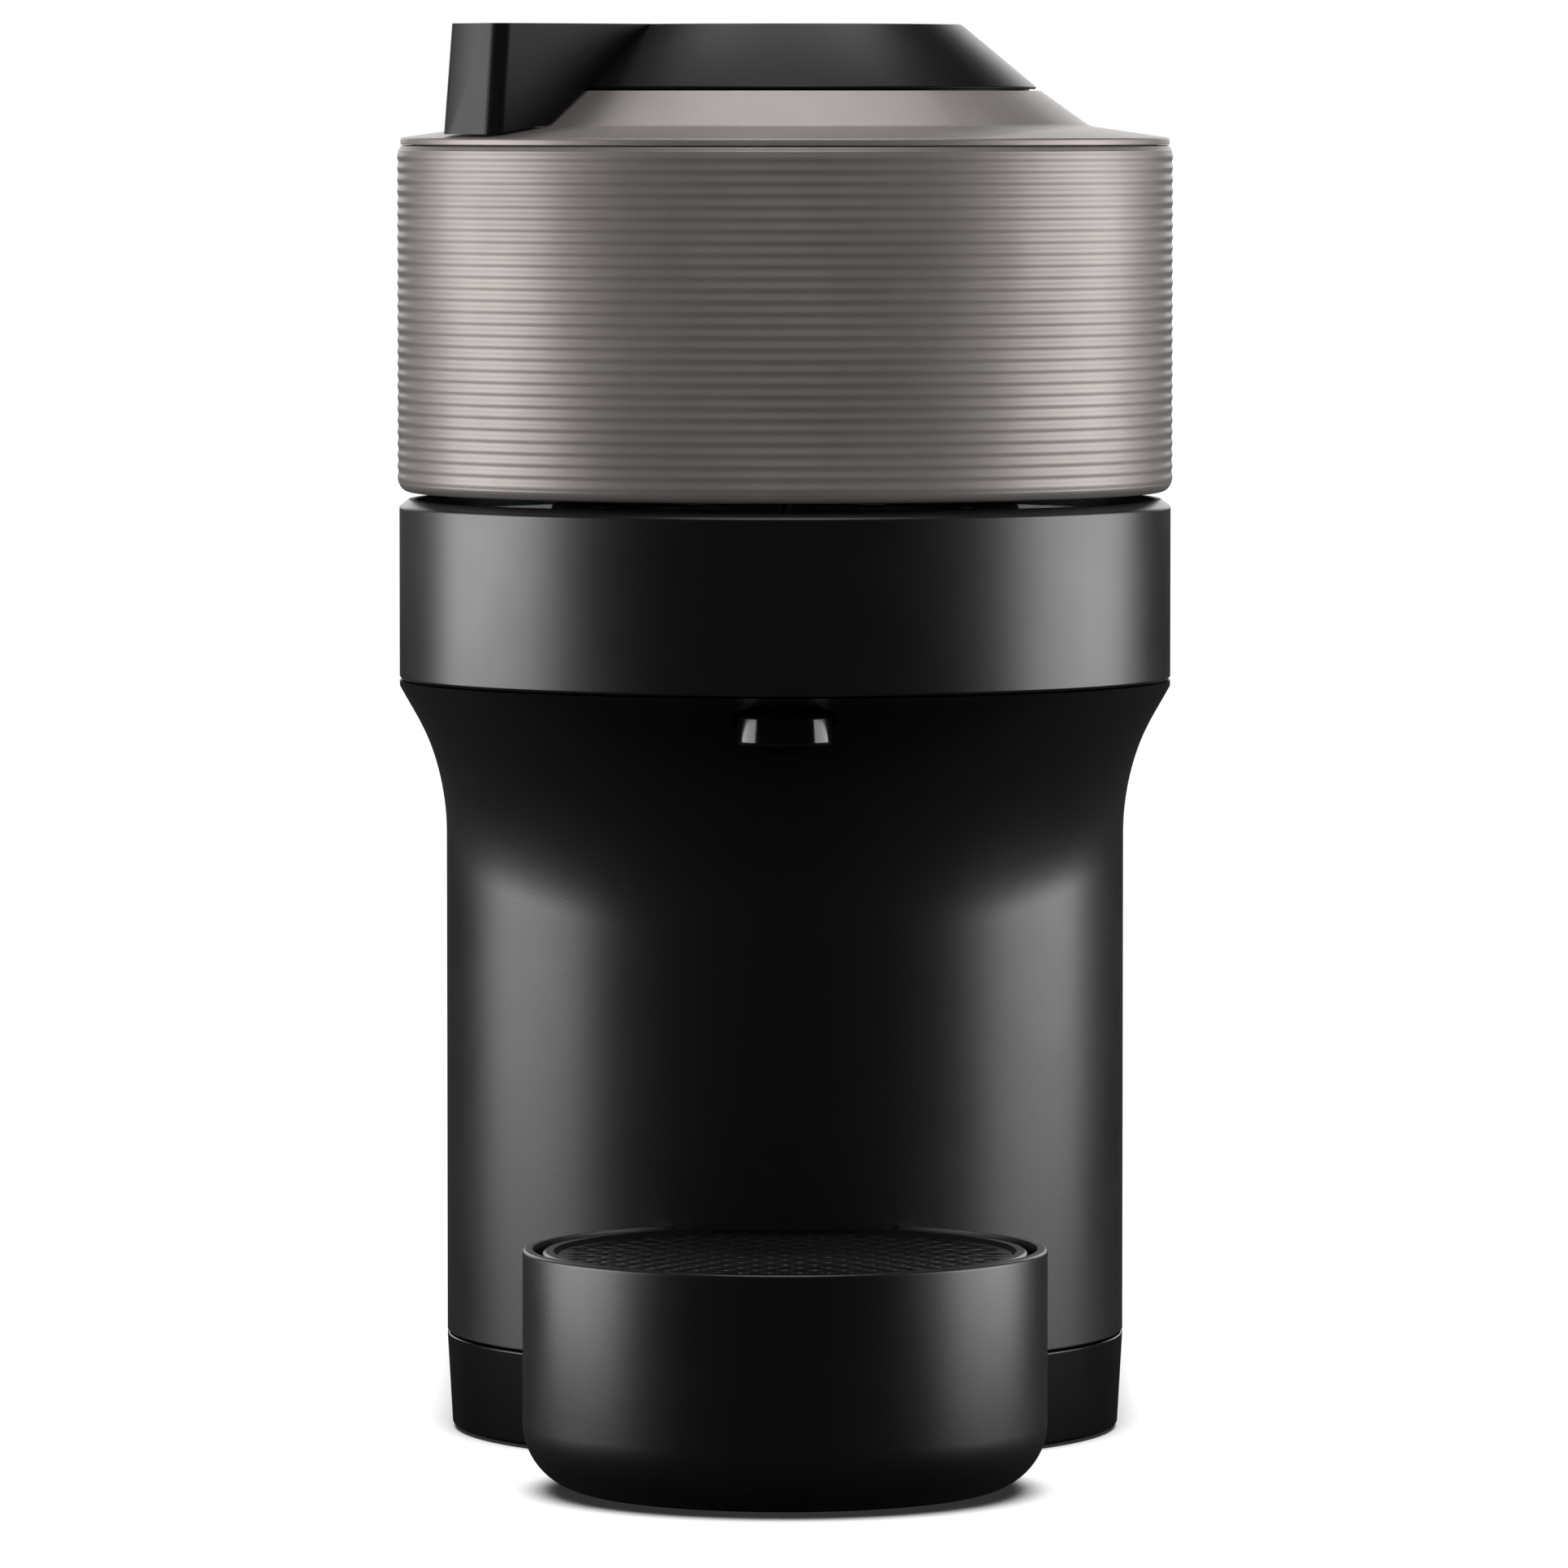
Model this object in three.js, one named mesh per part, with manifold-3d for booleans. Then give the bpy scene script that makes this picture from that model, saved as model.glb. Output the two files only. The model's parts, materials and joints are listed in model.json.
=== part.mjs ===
// Pod coffee machine with a hinged brewing head, a turning lock lever and a lift-off water tank.
// Millimetres, +Z up, the front faces -Y. The origin is on the resting surface, under the middle
// of the machine's width and depth.
import * as THREE from 'three';
import { mergeVertices } from 'three/addons/utils/BufferGeometryUtils.js';
import Module from 'manifold-3d';

const wasm = await Module();
wasm.setup();

// ---------------------------------------------------------------- driving dimensions
const GAP = 0.3;               // between pieces that sit on each other
const RUN = 0.8;               // between pieces that slide or turn past each other
const LARGE_STEPS = 32;        // facets round a large turned piece
const SMALL_STEPS = 14;        // facets round a small turned piece

const DEPTH = 426;             // front of the drip tray to the back of the tank
const HEAD_R = 68;             // the ribbed drum
const HEAD_BOTTOM_Z = 169.5;
const HEAD_TOP_Z = 230.1;
const HEAD_WALL = 2.4;
const COVER_RIM_RISE = 1.25;   // thickness of the cover's rim above the drum
const BRIM_RISE = 2.0;         // how far the brim climbs towards the cone
const CONE_RISE = 6.25;        // how far the cone climbs to the lever
const TURRET_RISE = 11.4;
const TURRET_R = 44.5;         // foot of the lever
const TURRET_TOP_R = 30.9;
const HANDLE_R = 66.4;         // reach of the lever's handle from the drum's axis
const HANDLE_FROM = 24;        // degrees forward of -X
const HANDLE_TO = 42;
const BUTTON_R = 14;
const BUTTON_TRAVEL = 1.2;

const RING_R = 67.7;           // fixed lower half of the head
const RING_BOTTOM_Z = 136.7;
const RING_TOP_Z = 168.2;
const RING_WALL = 2.5;

const BODY_HALF_WIDTH = 60.7;
const BODY_WALL = 2.5;
const COLUMN_BULGE = 60;       // how far the column's front curves out ahead of its widest place
const SEAM_Z = 17.2;           // top of the base
const SKIRT_Z = 0.5;           // underside of the base
const SKIRT_EDGE = 0.7;        // bevel round the underside
const SKIRT_TAPER = 0.9;
const BODY_CORNER = 16;
const DECK_Z = 168.3;          // top of the deck behind the head
const DECK_THICK = 2.0;
const FLARE_SIDE = 29.1;       // height of the flare under the head, at the sides
const FLARE_FRONT = 45;        // and at the front
const FLARE_BEND = 0.8;        // the share of the side flare that curves; the rest runs straight
const FLARE_END = 0.96;        // the share of its height at which it reaches the head's width

const TRAY_R = 45;
const TRAY_TOP_Z = 41.6;
const TRAY_BOTTOM_Z = 0.8;
const TRAY_FILLET = 13.3;
const TRAY_WALL = 3.0;
const TRAY_LEDGE = 2.5;
const GRID_THICK = 2.4;

const SPOUT_R = 8.5;
const SPOUT_BORE = 3;

const TANK_DEPTH = 83.5;
const TANK_HALF_WIDTH = 58.5;
const TANK_WALL = 2.4;
const TANK_TOP_Z = 165.5;
const LID_THICK = 4.7;

const BIN_HALF_WIDTH = 50;
const BIN_LENGTH = 88;
const BIN_BOTTOM_Z = 86;
const BIN_WALL = 2.0;
const BIN_CORNER = 14;

const FOOT_R = 7;
const FOOT_X = 46;
const PIN_R = 3;
const CUP_R = 35;
const CUP_INNER_R = 29.5;
const CUP_HUB_R = 12;
const CUP_LOW = 2.2;           // top of the cup below the top of the fixed half
const BELT_RISE = 4.5;         // belt above the underside of the cup
const NECK_R = 5.6;            // spout above its bead
const SPOUT_DROP = 11;         // tip of the spout below the fixed half of the head
const PIERCER_R = 30.5;
const PIERCER_OPENING = 32;    // hole in the head's underplate
const PIERCER_HUB_R = 10;
const MOTOR_OFFSET = 48;       // motor shaft behind the drum's axis
const MOTOR_PULLEY_R = 9;
const BELT_THICK = 1.5;
const BOARD_X = 46;
const BOARD_THICK = 1.6;
const LOCK_RISE = 18;          // lock ring above the underside of the drum
const LAMP_WIDTH = 2;
const HANDLE_CORNER = 4;
const HANDLE_CLEAR = 0.5;      // handle above and outside the cover
const MOTOR_R = 15;
const MOTOR_LENGTH = 42;
const PUMP_R = 16;
const PUMP_X = -22;
const PUMP_RISE = 36;          // pump's axis above the base's floor
const HOSE_R = 2.2;
const GLAND_X = 30;
const GLAND_Z = 10.5;
const GLAND_R = 5;
const VALVE_R = 7.6;
const VALVE_NECK_R = 4;
const FLOOR_THICK = 3;         // floors of the base and the tank
const SCREW_X = 36;            // base screws
const LID_PEG_R = 1.6;
const TANK_BOW = 45;           // how far the tank's back curves out
const TANK_CORNER = 8;
const FAR = 80;                // reach of a cutting block past any side

// ---------------------------------------------------------------- places that follow
const FRONT_Y = -DEPTH / 2;
const BACK_Y = DEPTH / 2;
const TRAY_Y = FRONT_Y + TRAY_R;
const SPOUT_Y = TRAY_Y + 10;
const HEAD_Y = TRAY_Y + 56;
const COLUMN_Y = HEAD_Y + 41;          // where the column is widest
const TANK_FRONT_Y = BACK_Y - TANK_DEPTH;
const BODY_BACK_Y = TANK_FRONT_Y - 3.5;
const BIN_BACK_Y = BODY_BACK_Y - 26;
const BIN_FRONT_Y = BIN_BACK_Y - BIN_LENGTH;
const FLARE_TOP_Z = RING_BOTTOM_Z - GAP;
const BODY_TOP_Z = DECK_Z - DECK_THICK - GAP;
const BRIM_Z = HEAD_TOP_Z + COVER_RIM_RISE;
const CONE_FOOT_Z = BRIM_Z + BRIM_RISE;
const CONE_TOP_Z = CONE_FOOT_Z + CONE_RISE;
const TURRET_Z = CONE_TOP_Z + GAP;
const TOP_Z = TURRET_Z + TURRET_RISE - 0.1;
const CONE_TOP_R = TURRET_R + 0.55;
const CONE_FOOT_R = CONE_TOP_R + 8.7;
const HINGE_Y = HEAD_Y + HEAD_R + 8;
const HINGE_Z = HEAD_BOTTOM_Z + 5.5;
const MOTOR_Y = HEAD_Y + MOTOR_OFFSET;
const SHAFT_R = 8;

const root = new THREE.Group();

// ---------------------------------------------------------------- finishes
const finish = (color, roughness, metalness = 0, extra = {}) =>
  new THREE.MeshStandardMaterial({ color, roughness, metalness, ...extra });
const TITANIUM = finish(0x8b8482, 0.38, 0.55);
const SATIN_BLACK = finish(0x141415, 0.42);
const LEVER_BLACK = finish(0x1b1c1d, 0.36);
const GLOSS_BLACK = finish(0x060607, 0.12);
const RUBBER = finish(0x17171a, 0.85);
const STEEL = finish(0xb4b6b8, 0.3, 1);
const GREY_PLASTIC = finish(0x3b3c3e, 0.6);
const NATURAL_PLASTIC = finish(0xd9d8d2, 0.55);
const SMOKED = finish(0x54595e, 0.08, 0, { transparent: true, opacity: 0.35 });
const BOARD_GREEN = finish(0x1f5a39, 0.5);
const LAMP = finish(0xe9e6dc, 0.4);

// ---------------------------------------------------------------- solids
const vec = (x, y, z) => new THREE.Vector3(x, y, z);
const radians = THREE.MathUtils.degToRad;

// A closed geometry as a manifold solid, turned right side out.
function solid(geometry) {
  const bare = geometry.clone();
  for (const name of Object.keys(bare.attributes)) {
    if (name !== 'position') bare.deleteAttribute(name);
  }
  const merged = mergeVertices(bare, 1e-4);
  const source = merged.index.array;
  const points = merged.attributes.position.array;
  const kept = [];
  let volume = 0;
  for (let i = 0; i < source.length; i += 3) {
    const [a, b, c] = [source[i], source[i + 1], source[i + 2]];
    if (a === b || b === c || a === c) continue;
    kept.push(a, b, c);
    const [p, q, r] = [a, b, c].map((n) => vec(points[3 * n], points[3 * n + 1], points[3 * n + 2]));
    volume += p.dot(q.cross(r));
  }
  if (volume < 0) {
    for (let i = 0; i < kept.length; i += 3) [kept[i], kept[i + 1]] = [kept[i + 1], kept[i]];
  }
  return new wasm.Manifold(new wasm.Mesh({
    numProp: 3, vertProperties: Float32Array.from(points), triVerts: Uint32Array.from(kept),
  }));
}

// A manifold solid, or a plain geometry, as a named mesh under the root.
function piece(name, shape, material) {
  const body = shape.isBufferGeometry ? solid(shape) : shape;
  const mesh = body.getMesh();
  const geometry = new THREE.BufferGeometry();
  geometry.setAttribute('position', new THREE.Float32BufferAttribute(mesh.vertProperties, 3));
  geometry.setIndex(Array.from(mesh.triVerts));
  geometry.computeVertexNormals();
  const result = new THREE.Mesh(geometry, material);
  result.name = name;
  root.add(result);
  return result;
}

// A profile of [radius, height] pairs turned about a vertical axis at (x, y). A profile that
// doesn't touch the axis closes on itself.
function turned(profile, y = 0, steps = LARGE_STEPS, x = 0) {
  const points = profile.map(([r, z]) => new THREE.Vector2(r, z));
  const onAxis = profile[0][0] === 0 && profile.at(-1)[0] === 0;
  if (!onAxis) points.push(points[0].clone());
  return solid(new THREE.LatheGeometry(points, steps).rotateX(Math.PI / 2).translate(x, y, 0));
}

const disc = (radius, z0, z1, y = 0, steps = SMALL_STEPS, x = 0) =>
  turned([[0, z0], [radius, z0], [radius, z1], [0, z1]], y, steps, x);

const annulus = (inner, outer, z0, z1, y = 0, steps = LARGE_STEPS, x = 0) =>
  turned([[inner, z0], [outer, z0], [outer, z1], [inner, z1]], y, steps, x);

// A cylinder that lies along X.
function rodX(radius, x0, x1, y, z, steps = SMALL_STEPS) {
  const geometry = new THREE.CylinderGeometry(radius, radius, x1 - x0, steps).rotateZ(Math.PI / 2);
  return solid(geometry.translate((x0 + x1) / 2, y, z));
}

// A cylinder that lies along Y.
function rodY(radius, y0, y1, x, z, steps = SMALL_STEPS) {
  const geometry = new THREE.CylinderGeometry(radius, radius, y1 - y0, steps);
  return solid(geometry.translate(x, (y0 + y1) / 2, z));
}

function block(x0, x1, y0, y1, z0, z1) {
  const geometry = new THREE.BoxGeometry(x1 - x0, y1 - y0, z1 - z0);
  return solid(geometry.translate((x0 + x1) / 2, (y0 + y1) / 2, (z0 + z1) / 2));
}

// An outline of Vector2 points raised from z0 to z1.
function raised(outline, z0, z1) {
  const shape = new THREE.Shape(outline);
  return solid(new THREE.ExtrudeGeometry(shape, { depth: z1 - z0, bevelEnabled: false })
    .translate(0, 0, z0));
}

// Rings of Vector3 points, bottom to top, joined into one closed solid with flat ends.
function loft(rings) {
  const count = rings[0].length;
  const positions = rings.flat().flatMap((p) => [p.x, p.y, p.z]);
  const index = [];
  for (let level = 0; level + 1 < rings.length; level += 1) {
    for (let i = 0; i < count; i += 1) {
      const a = level * count + i;
      const b = level * count + (i + 1) % count;
      index.push(a, b, b + count, a, b + count, a + count);
    }
  }
  const flat = (ring) => ring.map((p) => new THREE.Vector2(p.x, p.y));
  for (const [a, b, c] of THREE.ShapeUtils.triangulateShape(flat(rings[0]), [])) index.push(a, c, b);
  const top = (rings.length - 1) * count;
  for (const [a, b, c] of THREE.ShapeUtils.triangulateShape(flat(rings.at(-1)), [])) {
    index.push(top + a, top + b, top + c);
  }
  const geometry = new THREE.BufferGeometry();
  geometry.setAttribute('position', new THREE.Float32BufferAttribute(positions, 3));
  geometry.setIndex(index);
  return solid(geometry);
}

// A tube of 8 sides along a smooth path.
function tube(points, radius, steps) {
  const section = new THREE.Shape();
  section.absarc(0, 0, radius, 0, 2 * Math.PI, false);
  const extrudePath = new THREE.CatmullRomCurve3(points);
  return solid(new THREE.ExtrudeGeometry(section, { steps, extrudePath, curveSegments: 4,
      bevelEnabled: false }));
}

const arc = (cx, cy, rx, ry, from, to, steps) => Array.from({ length: steps + 1 }, (_, i) => {
  const angle = radians(from + ((to - from) * i) / steps);
  return new THREE.Vector2(cx + rx * Math.cos(angle), cy + ry * Math.sin(angle));
});

// A rectangle with round corners, anticlockwise.
function roundedRectangle(x0, x1, y0, y1, corner, steps = 4) {
  return [
    ...arc(x1 - corner, y1 - corner, corner, corner, 0, 90, steps),
    ...arc(x0 + corner, y1 - corner, corner, corner, 90, 180, steps),
    ...arc(x0 + corner, y0 + corner, corner, corner, 180, 270, steps),
    ...arc(x1 - corner, y0 + corner, corner, corner, 270, 360, steps),
  ];
}

// ---------------------------------------------------------------- the body's outline
const FRONT_STEPS = 16;
const SIDE_STEPS = 2;
const FLARE_LEVELS = 6;

// The body seen from above: a round front, straight sides and round corners at the back.
// Every inset has the same number of points, so that two of them can be joined.
function bodyOutline(inset = 0, backY = BODY_BACK_Y) {
  const half = BODY_HALF_WIDTH - inset;
  const corner = Math.max(BODY_CORNER - inset, 2);
  const side = ringSide(inset).map((point) => point.y);
  const rear = backY - inset;
  return [
    ...side.map((y) => new THREE.Vector2(half, y)),
    ...arc(half - corner, rear - corner, corner, corner, 0, 90, 4),
    ...arc(-half + corner, rear - corner, corner, corner, 90, 180, 4),
    ...side.toReversed().map((y) => new THREE.Vector2(-half, y)),
    ...arc(0, COLUMN_Y, half, COLUMN_BULGE - inset, 180, 360, FRONT_STEPS).slice(1, -1),
  ];
}

// The drum's right edge from its widest place back to where it meets the body's side. The first
// point's partner on the body is where the column is widest.
function ringSide(inset) {
  const radius = RING_R - inset;
  const meets = Math.acos(Math.min((BODY_HALF_WIDTH - inset) / radius, 1));
  return Array.from({ length: SIDE_STEPS + 1 }, (_, i) => {
    const angle = (meets * i) / SIDE_STEPS;
    const start = COLUMN_Y;
    const end = Math.max(HEAD_Y + radius * Math.sin(meets), start + 2);
    return {
      y: start + ((end - start) * i) / SIDE_STEPS,
      ringX: radius * Math.cos(angle),
      ringY: HEAD_Y + radius * Math.sin(angle),
    };
  });
}

// The same outline where it meets the head: the front becomes the drum's circle.
function headOutline(inset = 0) {
  const radius = RING_R - inset;
  const side = ringSide(inset);
  const plain = bodyOutline(inset);
  const rearPoints = plain.slice(side.length, plain.length - side.length - (FRONT_STEPS - 1));
  return [
    ...side.map((point) => new THREE.Vector2(point.ringX, point.ringY)),
    ...rearPoints,
    ...side.toReversed().map((point) => new THREE.Vector2(-point.ringX, point.ringY)),
    ...arc(0, HEAD_Y, radius, radius, 180, 360, FRONT_STEPS).slice(1, -1),
  ];
}

// How far the flare has opened at share t of its height, at the sides and at the front.
function sideFlare(t) {
  const reached = Math.min(t / FLARE_END, 1);
  const bent = Math.min(reached, FLARE_BEND);
  const whole = FLARE_BEND ** 2 + 2 * FLARE_BEND * (1 - FLARE_BEND);
  return (bent ** 2 + 2 * FLARE_BEND * (reached - bent)) / whole;
}
const frontFlare = (t) => 1 - Math.sqrt(1 - t ** 2);

// The column with its flare, from bottom to top. The flare bends out and runs straight at the
// sides, and opens into a wide cove at the front. lift raises the cove, which gives the front
// its thickness.
function columnSolid(inset, bottomZ, topZ, lift) {
  const low = bodyOutline(inset);
  const high = headOutline(inset);
  const levels = FLARE_LEVELS;
  const rings = [low.map((p) => vec(p.x, p.y, bottomZ))];
  for (let level = 0; level <= levels; level += 1) {
    const t = level / levels;
    rings.push(low.map((p, i) => {
      const forward = THREE.MathUtils.clamp((COLUMN_Y - p.y) / COLUMN_BULGE, 0, 1);
      const height = THREE.MathUtils.lerp(FLARE_SIDE, FLARE_FRONT, forward);
      const share = THREE.MathUtils.lerp(sideFlare(t), frontFlare(t), forward ** 0.7);
      const z = FLARE_TOP_Z - height * (1 - t) + lift * forward;
      return vec(
        THREE.MathUtils.lerp(p.x, high[i].x, share),
        THREE.MathUtils.lerp(p.y, high[i].y, share),
        level === levels ? FLARE_TOP_Z + lift : z,
      );
    }));
  }
  if (topZ > FLARE_TOP_Z + lift) rings.push(high.map((p) => vec(p.x, p.y, topZ)));
  return loft(rings);
}

// ---------------------------------------------------------------- base
function base() {
  const shelfBack = BACK_Y - 4;
  const level = (z, inset) => bodyOutline(inset, shelfBack).map((p) => vec(p.x, p.y, z));
  let tub = loft([
    level(SKIRT_Z, SKIRT_TAPER + SKIRT_EDGE), level(SKIRT_Z + SKIRT_EDGE, SKIRT_TAPER), level(SEAM_Z, 0),
  ]);
  const floor = SKIRT_Z + FLOOR_THICK;
  const wellBack = BODY_BACK_Y - BODY_WALL;
  tub = tub.subtract(raised(bodyOutline(BODY_WALL + SKIRT_TAPER, wellBack + BODY_WALL + SKIRT_TAPER),
      floor, SEAM_Z + 5));
  const footY = [COLUMN_Y - 14, shelfBack - 30];
  const hollow = raised(roundedRectangle(-BIN_HALF_WIDTH, BIN_HALF_WIDTH, TANK_FRONT_Y + 4,
      shelfBack - 12, 20), SKIRT_Z - 1, SEAM_Z - BODY_WALL);
  let bosses = null;
  const feet = [];
  for (const [row, y] of [['front', footY[0]], ['rear', footY[1]]]) {
    for (const [side, x] of [['left', -FOOT_X], ['right', FOOT_X]]) {
      const boss = disc(FOOT_R + 3, SKIRT_Z - 2, SEAM_Z, y, SMALL_STEPS, x);
      bosses = bosses ? bosses.add(boss) : boss;
      feet.push({ name: `foot_${row}_${side}`, x, y });
    }
  }
  tub = tub.subtract(hollow.subtract(bosses));
  for (const foot of feet) {
    tub = tub.subtract(disc(FOOT_R + GAP, SKIRT_Z - 1, SKIRT_Z + 2, foot.y, SMALL_STEPS, foot.x));
    piece(foot.name, turned([[0, 0], [FOOT_R - 1, 0], [FOOT_R, 1], [FOOT_R, SKIRT_Z + 2 - GAP],
        [0, SKIRT_Z + 2 - GAP]],
      foot.y, SMALL_STEPS, foot.x), RUBBER);
  }
  // The hole under the tank's valve, and the way from there into the body.
  const valveY = TANK_FRONT_Y + 22;
  tub = tub.subtract(disc(5, SKIRT_Z, SEAM_Z + 1, valveY));
  tub = tub.subtract(rodY(4, BODY_BACK_Y - 8, TANK_FRONT_Y + 8, 0, GLAND_Z));
  // Screws up through the floor, in counterbored holes.
  const screwY = [COLUMN_Y + 6, BODY_BACK_Y - 30];
  let count = 0;
  for (const y of screwY) {
    for (const x of [-SCREW_X, SCREW_X]) {
      count += 1;
      tub = tub.subtract(disc(3.6, SKIRT_Z - 1, SKIRT_Z + 1.6, y, 12, x))
          .subtract(disc(2, SKIRT_Z, floor + 1, y, 12, x));
      piece(`base_screw_${count}`, turned([[0, SKIRT_Z + 0.2], [3.2, SKIRT_Z + 0.2], [3.2, SKIRT_Z + 1.3],
        [1.6, SKIRT_Z + 1.3], [1.6, floor + 6], [0, floor + 6.8]], y, 12, x), STEEL);
    }
  }
  // The cord's gland leaves through the back.
  tub = tub.subtract(rodY(GLAND_R + GAP, shelfBack - 16, shelfBack + 1, GLAND_X, GLAND_Z));
  piece('base_foot', tub, SATIN_BLACK);
  const gland = rodY(GLAND_R, shelfBack - 15, shelfBack + 3, GLAND_X, GLAND_Z)
      .add(rodY(GLAND_R + 1, shelfBack + GAP, shelfBack + 1.6, GLAND_X, GLAND_Z))
    .subtract(rodY(3.2, shelfBack - 20, shelfBack + 9, GLAND_X, GLAND_Z, 14));
  piece('cord_gland', gland, RUBBER);
  return { valveY, floor };
}

// ---------------------------------------------------------------- body
const WINDOW = { half: 44, low: SEAM_Z + 16, high: BODY_TOP_Z - 16 };

function body() {
  const headCut = (z) => disc(HEAD_R + GAP, z, DECK_Z + 20, HEAD_Y, LARGE_STEPS);
  const bottom = SEAM_Z + GAP;
  const rear = (inset, z0, z1) => raised(bodyOutline(inset), z0, z1);
  let shell = columnSolid(0, bottom, FLARE_TOP_Z, 0).add(rear(0, FLARE_TOP_Z - 20, BODY_TOP_Z)
    .subtract(headCut(FLARE_TOP_Z - 30)));
  const inside = columnSolid(BODY_WALL, bottom - 5, FLARE_TOP_Z + 12, BODY_WALL)
    .add(rear(BODY_WALL, FLARE_TOP_Z - 40, BODY_TOP_Z + 5)
      .subtract(disc(HEAD_R + GAP + 1.5, FLARE_TOP_Z - 45, DECK_Z + 20, HEAD_Y, LARGE_STEPS)));
  shell = shell.subtract(inside).subtract(headCut(FLARE_TOP_Z));
  shell = shell.subtract(disc(SPOUT_R + RUN, FLARE_TOP_Z - 30, FLARE_TOP_Z + 1, SPOUT_Y, 28));
  shell = shell.subtract(raised(roundedRectangle(-WINDOW.half, WINDOW.half, WINDOW.low, WINDOW.high, 6,
      3), 0, 30)
    .rotate([90, 0, 0]).translate([0, BODY_BACK_Y + 15, 0]));
  piece('body_shell', shell, SATIN_BLACK);

  const panel = raised(roundedRectangle(-WINDOW.half + GAP, WINDOW.half - GAP, WINDOW.low + GAP,
      WINDOW.high - GAP, 6, 3), 0, BODY_WALL)
    .rotate([90, 0, 0]).translate([0, BODY_BACK_Y, 0]);
  const holeX = WINDOW.half - 6;
  const holeZ = (WINDOW.low + WINDOW.high) / 2;
  let rearPanel = panel;
  [[-holeX, holeZ], [holeX, holeZ]].forEach(([x, z], i) => {
    rearPanel = rearPanel.subtract(rodY(1.9, BODY_BACK_Y - 4, BODY_BACK_Y + 4, x, z, 12));
    piece(`panel_screw_${i + 1}`, rodY(1.5, BODY_BACK_Y - 8, BODY_BACK_Y + GAP + 0.1, x, z, 12)
      .add(rodY(3, BODY_BACK_Y + GAP, BODY_BACK_Y + 1.4, x, z, 12)), STEEL);
  });
  piece('rear_panel', rearPanel, SATIN_BLACK);
}

// The deck behind the head, with the bay for the used-capsule bin.
function deck() {
  let plate = raised(bodyOutline(0), DECK_Z - DECK_THICK, DECK_Z)
    .subtract(disc(HEAD_R + GAP + 0.4, DECK_Z - 9, DECK_Z + 9, HEAD_Y, LARGE_STEPS));
  // What lies ahead of the drum's middle falls away with the drum's circle.
  plate = plate.subtract(block(-FAR, FAR, FRONT_Y, HEAD_Y + 40, DECK_Z - 9, DECK_Z + 9));
  const lip = raised(bodyOutline(BODY_WALL + GAP), DECK_Z - DECK_THICK - 4, DECK_Z - 1)
    .subtract(raised(bodyOutline(BODY_WALL + GAP + 1.6), DECK_Z - 20, DECK_Z + 5))
    .subtract(block(-FAR, FAR, FRONT_Y, HEAD_Y + HEAD_R + 12, DECK_Z - 20, DECK_Z + 9));
  plate = plate.add(lip);
  plate = plate.subtract(raised(roundedRectangle(-BIN_HALF_WIDTH - RUN, BIN_HALF_WIDTH + RUN,
    BIN_FRONT_Y - RUN, BIN_BACK_Y + RUN, BIN_CORNER + RUN), DECK_Z - 20, DECK_Z + 5));
  piece('top_deck', plate, SATIN_BLACK);

  const shelfTop = BIN_BOTTOM_Z - 0.5;
  const inner = BODY_HALF_WIDTH - BODY_WALL - GAP;
  piece('bin_shelf', block(-inner, inner, BIN_FRONT_Y - 5, BIN_BACK_Y + 5, shelfTop - 3, shelfTop),
      GREY_PLASTIC);
}

// The bin for used capsules lifts straight up out of its bay, with its hood.
function bin() {
  const top = DECK_Z - 0.8;
  const outer = raised(roundedRectangle(-BIN_HALF_WIDTH, BIN_HALF_WIDTH, BIN_FRONT_Y, BIN_BACK_Y,
      BIN_CORNER), BIN_BOTTOM_Z, top);
  const w = BIN_WALL;
  const inner = raised(roundedRectangle(-BIN_HALF_WIDTH + w, BIN_HALF_WIDTH - w, BIN_FRONT_Y + w,
      BIN_BACK_Y - w,
    BIN_CORNER - w), BIN_BOTTOM_Z + w, top + 5);
  piece('capsule_bin', outer.subtract(inner), SATIN_BLACK);

  const lap = 3;
  const ring = (grow, z) => roundedRectangle(-BIN_HALF_WIDTH - grow, BIN_HALF_WIDTH + grow,
      BIN_FRONT_Y - grow,
    BIN_BACK_Y + grow, BIN_CORNER + grow).map((p) => vec(p.x, p.y, z));
  let hood = loft([ring(lap, DECK_Z + GAP), ring(lap, DECK_Z + 3), ring(lap - 3, DECK_Z + 6)]);
  const skirt = (grow) => roundedRectangle(-BIN_HALF_WIDTH + grow, BIN_HALF_WIDTH - grow,
      BIN_FRONT_Y + grow,
    BIN_BACK_Y - grow, BIN_CORNER - grow);
  hood = hood.add(raised(skirt(w + GAP), DECK_Z - 5, DECK_Z + 1));
  hood = hood.subtract(raised(skirt(w + GAP + 1.8), DECK_Z - 8, DECK_Z + 3.6));
  const mouthBack = BIN_FRONT_Y + 0.5 * BIN_LENGTH;
  hood = hood.subtract(raised(roundedRectangle(-34, 34, BIN_FRONT_Y + w + 2.2, mouthBack, 10),
      DECK_Z - 8, DECK_Z + 20));
  piece('bin_hood', hood, SATIN_BLACK);
}

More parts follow.
